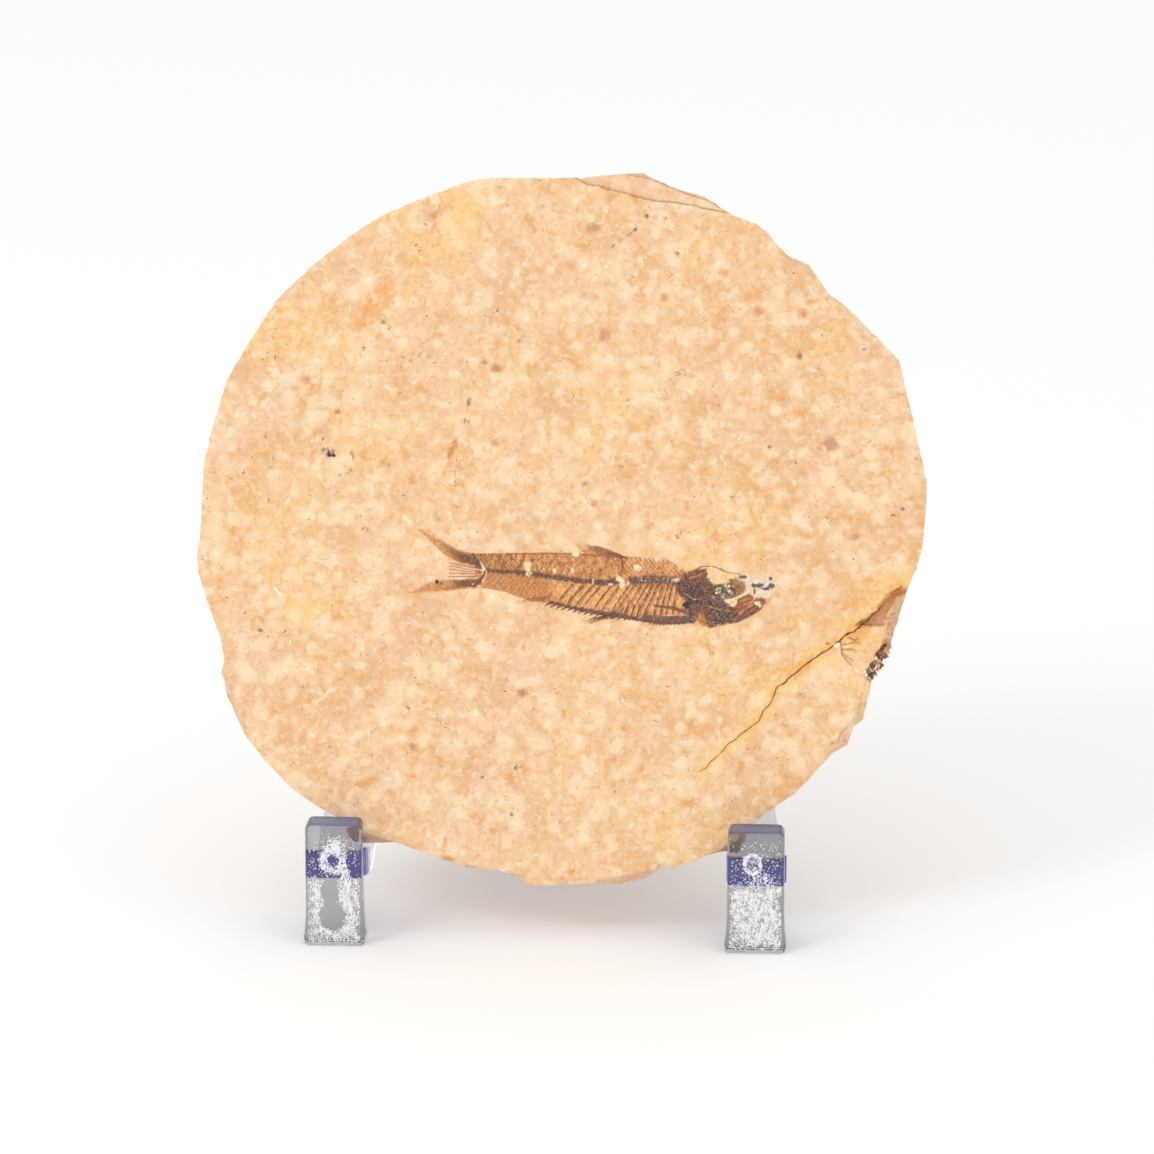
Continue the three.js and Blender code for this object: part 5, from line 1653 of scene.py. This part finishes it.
@dataclass
class Easel:
    """The clear stand: two hooks, their ledges, the leaning uprights, the panel and the leg."""

    cradle: Cradle
    post_width: float = 9.7
    post_height: float = 21.7
    post_corner: float = 1.2
    foot_flare: float = 0.6
    foot_height: float = 7.0
    softness: float = 0.5
    ledge_width: float = 10.2
    upright_length: float = 60.0
    taper: float = math.tan(math.radians(9.5))
    panel_low: float = 28.0
    panel_high: float = 56.0
    leg_width: float = 24.0
    leg_joint: float = 42.0
    leg_foot_back: float = 57.0
    edge_break: float = 0.3
    fleck: float = 0.145
    fleck_rise: float = 0.04
    frost_less: tuple = (0.8, 1.6)
    frost_foot: float = 0.5

    def build(self, hooks: Material, clear: Material, blue: Material,
              glue_and_glints: Material) -> None:
        """Models every piece of the stand.

        Args:
            hooks: the hooks' acrylic, its grey body painted shade for the dark surroundings seen through it.
            clear: the clear acrylic of the bars and plates behind the slab.
            blue: the acrylic of the ledges, blue along their sawn ends.
            glue_and_glints: the white flecks on the hooks, frost with painted glints of light.
        """
        for side in Side:
            name = side.name.lower()
            finish_piece(self.post(name, side), hooks, [f"{name}_post"])
            finish_piece(self.frost(name, side), glue_and_glints, [])
            finish_piece(self.ledge(name, side), blue, [f"{name}_ledge"])
            finish_piece(self.upright(name, side), clear, [f"{name}_upright"])
        finish_piece(self.panel(), clear, ["cross_panel"])
        finish_piece(self.leg(), clear, ["rear_leg"])

    def plate(self, name: str, corners: list, thickness: float, place: Matrix) -> Piece:
        """Cuts a piece of sheet to four corners and breaks its edges.

        Args:
            name: the piece's name.
            corners: its corners as (x, y), anticlockwise from the lower left.
            thickness: its thickness, half to each side of its own plane.
            place: where its plane goes.

        Returns:
            The piece.
        """
        start_over()
        bpy.ops.mesh.primitive_cube_add(size=2)
        piece = active(name)
        places = places_of(piece)
        order = [(-1, -1), (1, -1), (1, 1), (-1, 1)]
        for i, (x, y, z) in enumerate(places):
            corner = corners[order.index((round(x), round(y)))]
            places[i] = (*corner, z * thickness / 2)
        move_places(piece, places)
        self.soften(piece, self.edge_break)
        piece.data.transform(place)
        return piece

    def soften(self, piece: Piece, softness: float) -> None:
        """Rounds a piece's edges.

        Args:
            piece: the piece, which is the active one.
            softness: how wide the rounding is.
        """
        bevel = piece.modifiers.new("soft_edges", "BEVEL")
        bevel.width = softness
        bevel.segments = 3
        bevel.limit_method = "ANGLE"
        bevel.angle_limit = math.radians(25)
        bpy.ops.object.modifier_apply(modifier=bevel.name)
        smooth_over(piece, 30)

    def post(self, name: str, side: Side) -> Piece:
        """The hook in front of the slab, with a flared foot and rounded corners.

        Args:
            name: the side's name.
            side: the side that it stands on.

        Returns:
            The hook.
        """
        start_over()
        bpy.ops.mesh.primitive_cube_add(size=2)
        piece = active(f"{name}_hook")
        half = self.post_width / 2
        places = places_of(piece)
        places[:, 0] *= half
        places[:, 1] *= self.cradle.sheet / 2
        places[:, 2] = (places[:, 2] + 1) / 2 * self.post_height
        move_places(piece, places)
        for way, cuts in ((2, 15), (0, 6)):
            ends = edge_ends(piece)
            split_up(piece, Part.EDGES, np.abs(ends[:, 0, way] - ends[:, 1, way]) > 1, cuts)
        ends = edge_ends(piece)
        corner = np.all(np.abs(np.abs(ends[:, :, 0]) - half) < 0.01, axis=1)
        level = np.abs(ends[:, 0, 1] - ends[:, 1, 1]) > 1
        at_end = np.abs(ends[:, 0, 2] - self.post_height / 2) > self.post_height / 2 - 0.1
        edit(piece, Part.EDGES, corner & level & at_end)
        bpy.ops.mesh.bevel(offset=self.post_corner, segments=5)
        bpy.ops.object.mode_set(mode="OBJECT")
        places = places_of(piece)
        flare = self.foot_flare * np.clip(1 - places[:, 2] / self.foot_height, 0, 1) ** 2
        places[:, 0] += np.sign(places[:, 0]) * flare
        move_places(piece, places)
        self.soften(piece, self.softness)
        places = places_of(piece)
        low = places[:, 2] < self.softness * 0.9
        places[:, 1] = np.where(low, np.sign(places[:, 1]) * self.cradle.sheet / 2, places[:, 1])
        move_places(piece, places)
        sawn = piece.data.attributes.new("sawn", "FLOAT", "POINT")
        sawn.data.foreach_set("value", smooth(self.post_height - 0.3, self.post_height - 0.05, places[:, 2]))
        offset = (side.value * self.cradle.post_spacing / 2, self.cradle.sheet / 2, 0)
        piece.data.transform(self.cradle.stand() @ Matrix.Translation(offset))
        return piece

    def frost(self, name: str, side: Side) -> Piece:
        """The white flecks on the front of a hook, each a thin chip of its own: frost, and painted glints of
        light on the scratched acrylic.

        Args:
            name: the side's name.
            side: the side that it stands on.

        Returns:
            The flecks, as one piece.
        """
        size = (self.post_width - self.frost_less[0], self.post_height - self.frost_less[1])
        piece = sheet_of_cells(f"{name}_hook_frost_and_glints", self.fleck, (-size[0] / 2, self.frost_foot), size)
        paint = Paint(face_middles(piece), 51 + side.value)
        self.lay_frost_and_glints(paint, side)
        streaks = ripple(paint.u, paint.v * 0.3, 0.3, 55) + 0.7 * ripple(paint.u, paint.v, 0.7, 56)
        kept = paint.draw.uniform(0, 1, len(paint.cover)) < paint.cover * (0.85 + 0.4 * streaks)
        edit(piece, Part.FACES, ~kept)
        bpy.ops.mesh.delete(type="FACE")
        bpy.ops.mesh.select_all(action="SELECT")
        bpy.ops.mesh.edge_split(type="EDGE")
        bpy.ops.object.mode_set(mode="OBJECT")
        corners = np.zeros(len(piece.data.loops), int)
        piece.data.loops.foreach_get("vertex_index", corners)
        places = places_of(piece)
        middles = face_middles(piece).repeat(4, axis=0)
        spread = paint.draw.uniform(0.78, 0.98, (len(corners), 3))
        places[corners] = middles + (places[corners] - middles) * spread
        move_places(piece, places)
        edit(piece, Part.FACES, np.ones(len(piece.data.polygons), bool))
        thicken(self.fleck_rise)
        offset = (side.value * self.cradle.post_spacing / 2, -0.01, 0)
        turned = Matrix.Rotation(math.pi / 2, 4, "X")
        piece.data.transform(self.cradle.stand() @ Matrix.Translation(offset) @ turned)
        return piece

    def lay_frost_and_glints(self, paint: Paint, side: Side) -> None:
        """Lays the frost and painted glints on a hook: low down, along the blue band's foot, and a painted
        reflection in a ring.

        Args:
            paint: the paint on the flecks.
            side: the side that the hook stands on.
        """
        white = Tint.WHITE
        low = [(-4.2, 1), (4.4, 1), (4.1, 8), (4.1, 11.6), (-4.1, 11.6), (-4.1, 8)]
        paint.area(low, white, 0.9, 0, 1.2, 0.6)
        paint.area([(-4.4, 12), (4.4, 12), (4.4, 20), (-4.4, 20)], white, 0.08, 0, 0.6)
        if side is Side.LEFT:
            # Painted reflection: the white ring where light shines back off the hook.
            paint.stroke(ring((-0.1, 15.2), (1.7, 1.8)), 1.5, white, 1.0, ragged=0.3)
            paint.dab((0.1, 17.6), (1.6, 1.3), white, 0.9, soft=0.5)
            paint.area([(1, 10.6), (2.8, 10.6), (2.4, 13.6), (1.2, 13.6)], white, 0.9, 0, 0.5)
            self.rub_out(paint, (-0.2, 5.2), (2.3, 2.9))
            self.rub_out(paint, (-0.6, 9.6), (1.6, 3))
        else:
            # Painted reflection: the white ring where light shines back off the hook.
            paint.stroke(ring((-0.5, 15.9), (1.4, 1.7)), 0.7, white, 1.0, ragged=0.15)
            paint.dab((-0.5, 15.6), (1.2, 1.5), white, 0.35)
            paint.area([(-1.8, 11), (3.6, 11), (3, 13.6), (0.5, 14.4), (-1.4, 13)], white, 0.6, 0, 0.7, 0.4)

    def rub_out(self, paint: Paint, at: tuple, size: tuple) -> None:
        """Clears an oval of its frost."""
        away = np.hypot((paint.u - at[0]) / size[0], (paint.v - at[1]) / size[1]) + 0.15 * paint.uneven
        paint.cover *= smooth(0.8, 1.15, away)

    def ledge(self, name: str, side: Side) -> Piece:
        """The short bar behind a hook, which slopes back square to the lean.

        Args:
            name: the side's name.
            side: the side that it stands on.

        Returns:
            The ledge.
        """
        cradle = self.cradle
        front = cradle.sheet + cradle.gap
        top = cradle.ledge_top - cradle.gap * math.tan(cradle.lean)
        corners = [
            (front, top - cradle.sheet / math.cos(cradle.lean)),
            self.in_cradle(cradle.ledge_length, -cradle.sheet),
            self.in_cradle(cradle.ledge_length, 0),
            (front, top),
        ]
        middle = Matrix.Translation((side.value * cradle.post_spacing / 2, 0, 0))
        return self.plate(f"{name}_rest", corners, self.ledge_width, cradle.stand() @ middle @ self.across())

    def in_cradle(self, run: float, rise: float) -> tuple[float, float]:
        """A place, as back and up, at a run along the sloping ledge and a rise square to it."""
        cradle = self.cradle
        cos, sin = math.cos(cradle.lean), math.sin(cradle.lean)
        return cradle.sheet + run * cos + rise * sin, cradle.ledge_top - run * sin + rise * cos

    def across(self) -> Matrix:
        """Turns an outline drawn as back and up so that its thickness runs across."""
        return Matrix(((0, 0, 1, 0), (1, 0, 0, 0), (0, 1, 0, 0), (0, 0, 0, 1)))

    def outer_edge(self, rise: float) -> float:
        """Half the width over the uprights at a rise."""
        return self.cradle.post_spacing / 2 + self.post_width / 2 - (rise + self.cradle.sheet) * self.taper

    def upright(self, name: str, side: Side) -> Piece:
        """The bar that leans back behind the slab, in towards its twin.

        Args:
            name: the side's name.
            side: the side that it stands on.

        Returns:
            The upright.
        """
        low, high = -self.cradle.sheet, self.upright_length
        inner, outer = self.outer_edge(low) - self.post_width, self.outer_edge(low)
        inner_top, outer_top = self.outer_edge(high) - self.post_width, self.outer_edge(high)
        corners = [(inner, low), (outer, low), (outer_top, high), (inner_top, high)]
        if side is Side.LEFT:
            corners = [(-corners[i][0], corners[i][1]) for i in (1, 0, 3, 2)]
        return self.plate(f"{name}_bar", corners, self.cradle.sheet, self.cradle.uprights())

    def panel(self) -> Piece:
        """The plate between the uprights.

        Returns:
            The panel.
        """
        low = self.outer_edge(self.panel_low) - self.post_width - self.cradle.gap
        high = self.outer_edge(self.panel_high) - self.post_width - self.cradle.gap
        corners = [(-low, self.panel_low), (low, self.panel_low), (high, self.panel_high),
                   (-high, self.panel_high)]
        return self.plate("joining_panel", corners, self.cradle.sheet, self.cradle.uprights())

    def leg(self) -> Piece:
        """The plate from the panel's back down to the table.

        Returns:
            The leg.
        """
        cradle = self.cradle
        run = cradle.ledge_length + 2 * cradle.gap + cradle.sheet
        joint = Vector(self.in_cradle(run, self.leg_joint))
        toe = Vector((self.leg_foot_back, 0))
        along = (toe - joint).normalized()
        panel = Vector((math.sin(cradle.lean), math.cos(cradle.lean)))
        cross = abs(panel.x * along.y - panel.y * along.x)
        upper = joint + panel * (cradle.sheet / cross)
        heel = upper - along * (upper.y / along.y)
        corners = [tuple(toe), tuple(heel), tuple(upper), tuple(joint)]
        return self.plate("back_leg", corners, self.leg_width, cradle.stand() @ self.across())


@dataclass(frozen=True)
class Studio:
    """The floor, the soft lights and the camera at the photograph's angle."""

    cradle: Cradle
    distance: float = 1.0
    elevation: float = math.radians(16)
    azimuth: float = math.radians(3.2)
    field_of_view: float = math.radians(11.34)
    image_right: float = 2.6 * MM
    image_up: float = -8.6 * MM
    floor_size: float = 8.0
    floor_below: float = 0.1 * MM
    floor_tone: float = 0.97
    room_light: float = 0.98
    key_place: tuple = (-0.6, -0.6, 0.75)
    key_aim: tuple = (0, 0, 0.06)
    key_size: float = 0.3
    key_power: float = 1.8

    def build(self) -> None:
        """Places the floor, the lights and the camera."""
        self.floor()
        self.room()
        self.key_light()
        self.camera()

    def floor(self) -> None:
        """A plain pale floor that runs far back."""
        start_over()
        bpy.ops.mesh.primitive_plane_add(size=self.floor_size, location=(0, 1.5, -self.floor_below))
        floor = active("pale_floor")
        material = bpy.data.materials.new("pale_floor")
        material.use_nodes = True
        shader = material.node_tree.nodes["Principled BSDF"]
        shader.inputs["Base Color"].default_value = (self.floor_tone, self.floor_tone, self.floor_tone, 1)
        shader.inputs["Roughness"].default_value = 0.9
        shader.inputs["Specular IOR Level"].default_value = 0.0
        floor.data.materials.append(material)

    def room(self) -> None:
        """A bright room all round."""
        world = bpy.data.worlds.new("bright_room")
        world.use_nodes = True
        background = world.node_tree.nodes["Background"]
        background.inputs["Color"].default_value = (1, 1, 1, 1)
        background.inputs["Strength"].default_value = self.room_light
        bpy.context.scene.world = world

    def key_light(self) -> None:
        """A square soft light from the upper left that looks at the slab."""
        data = bpy.data.lights.new("key_light", "AREA")
        data.size = self.key_size
        data.energy = self.key_power
        light = bpy.data.objects.new("key_light", data)
        light.location = self.key_place
        aim = Vector(self.key_aim) - Vector(self.key_place)
        light.rotation_euler = aim.to_track_quat("-Z", "Y").to_euler()
        bpy.context.scene.collection.objects.link(light)

    def camera(self) -> None:
        """The camera, far off and long, as the photograph was taken."""
        cos, sin = math.cos(self.elevation), math.sin(self.elevation)
        back = Vector((math.sin(self.azimuth) * cos, -math.cos(self.azimuth) * cos, sin))
        turn = back.to_track_quat("Z", "Y")
        target = self.cradle.slab().to_translation()
        target += turn @ Vector((self.image_right, self.image_up, 0))
        data = bpy.data.cameras.new("camera")
        data.sensor_width = 36
        data.lens_unit = "FOV"
        data.angle = self.field_of_view
        camera = bpy.data.objects.new("camera", data)
        camera.location = target + back * self.distance
        camera.rotation_euler = turn.to_euler()
        bpy.context.scene.collection.objects.link(camera)
        bpy.context.scene.camera = camera
        bpy.context.scene.view_settings.view_transform = "Standard"


def main() -> None:
    """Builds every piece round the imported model."""
    logging.basicConfig(level=logging.INFO, format="%(message)s")
    cradle = Cradle()
    Studio(cradle).build()
    grain = LimestoneGrain().group()
    limestone = MarkedStone("limestone", cradle, grain, 0.35, 0.1, 0.14, 0.0).material()
    bone = MarkedStone("fossil_bone", cradle, grain, 0.35, 0.3, 0.36, 0.5).material()
    # The hooks' grey body colour is painted shade: it stands for the dark surroundings seen through the clear
    # plastic.
    hooks = ClearAcrylic("grey_shaded_acrylic", (0.5, 0.5, 0.52), 0.12).material()
    clear = ClearAcrylic("clear_acrylic", (0.74, 0.74, 0.77), 0.08).material()
    blue = ClearAcrylic("blue_edged_acrylic", (0.2, 0.19, 0.62), 0.1).material()
    LimestoneSlab(cradle).build(limestone)
    FossilFish(cradle).build(bone)
    Easel(cradle).build(hooks, clear, blue, FrostAndGlints().material())


if __name__ == "__main__":
    main()
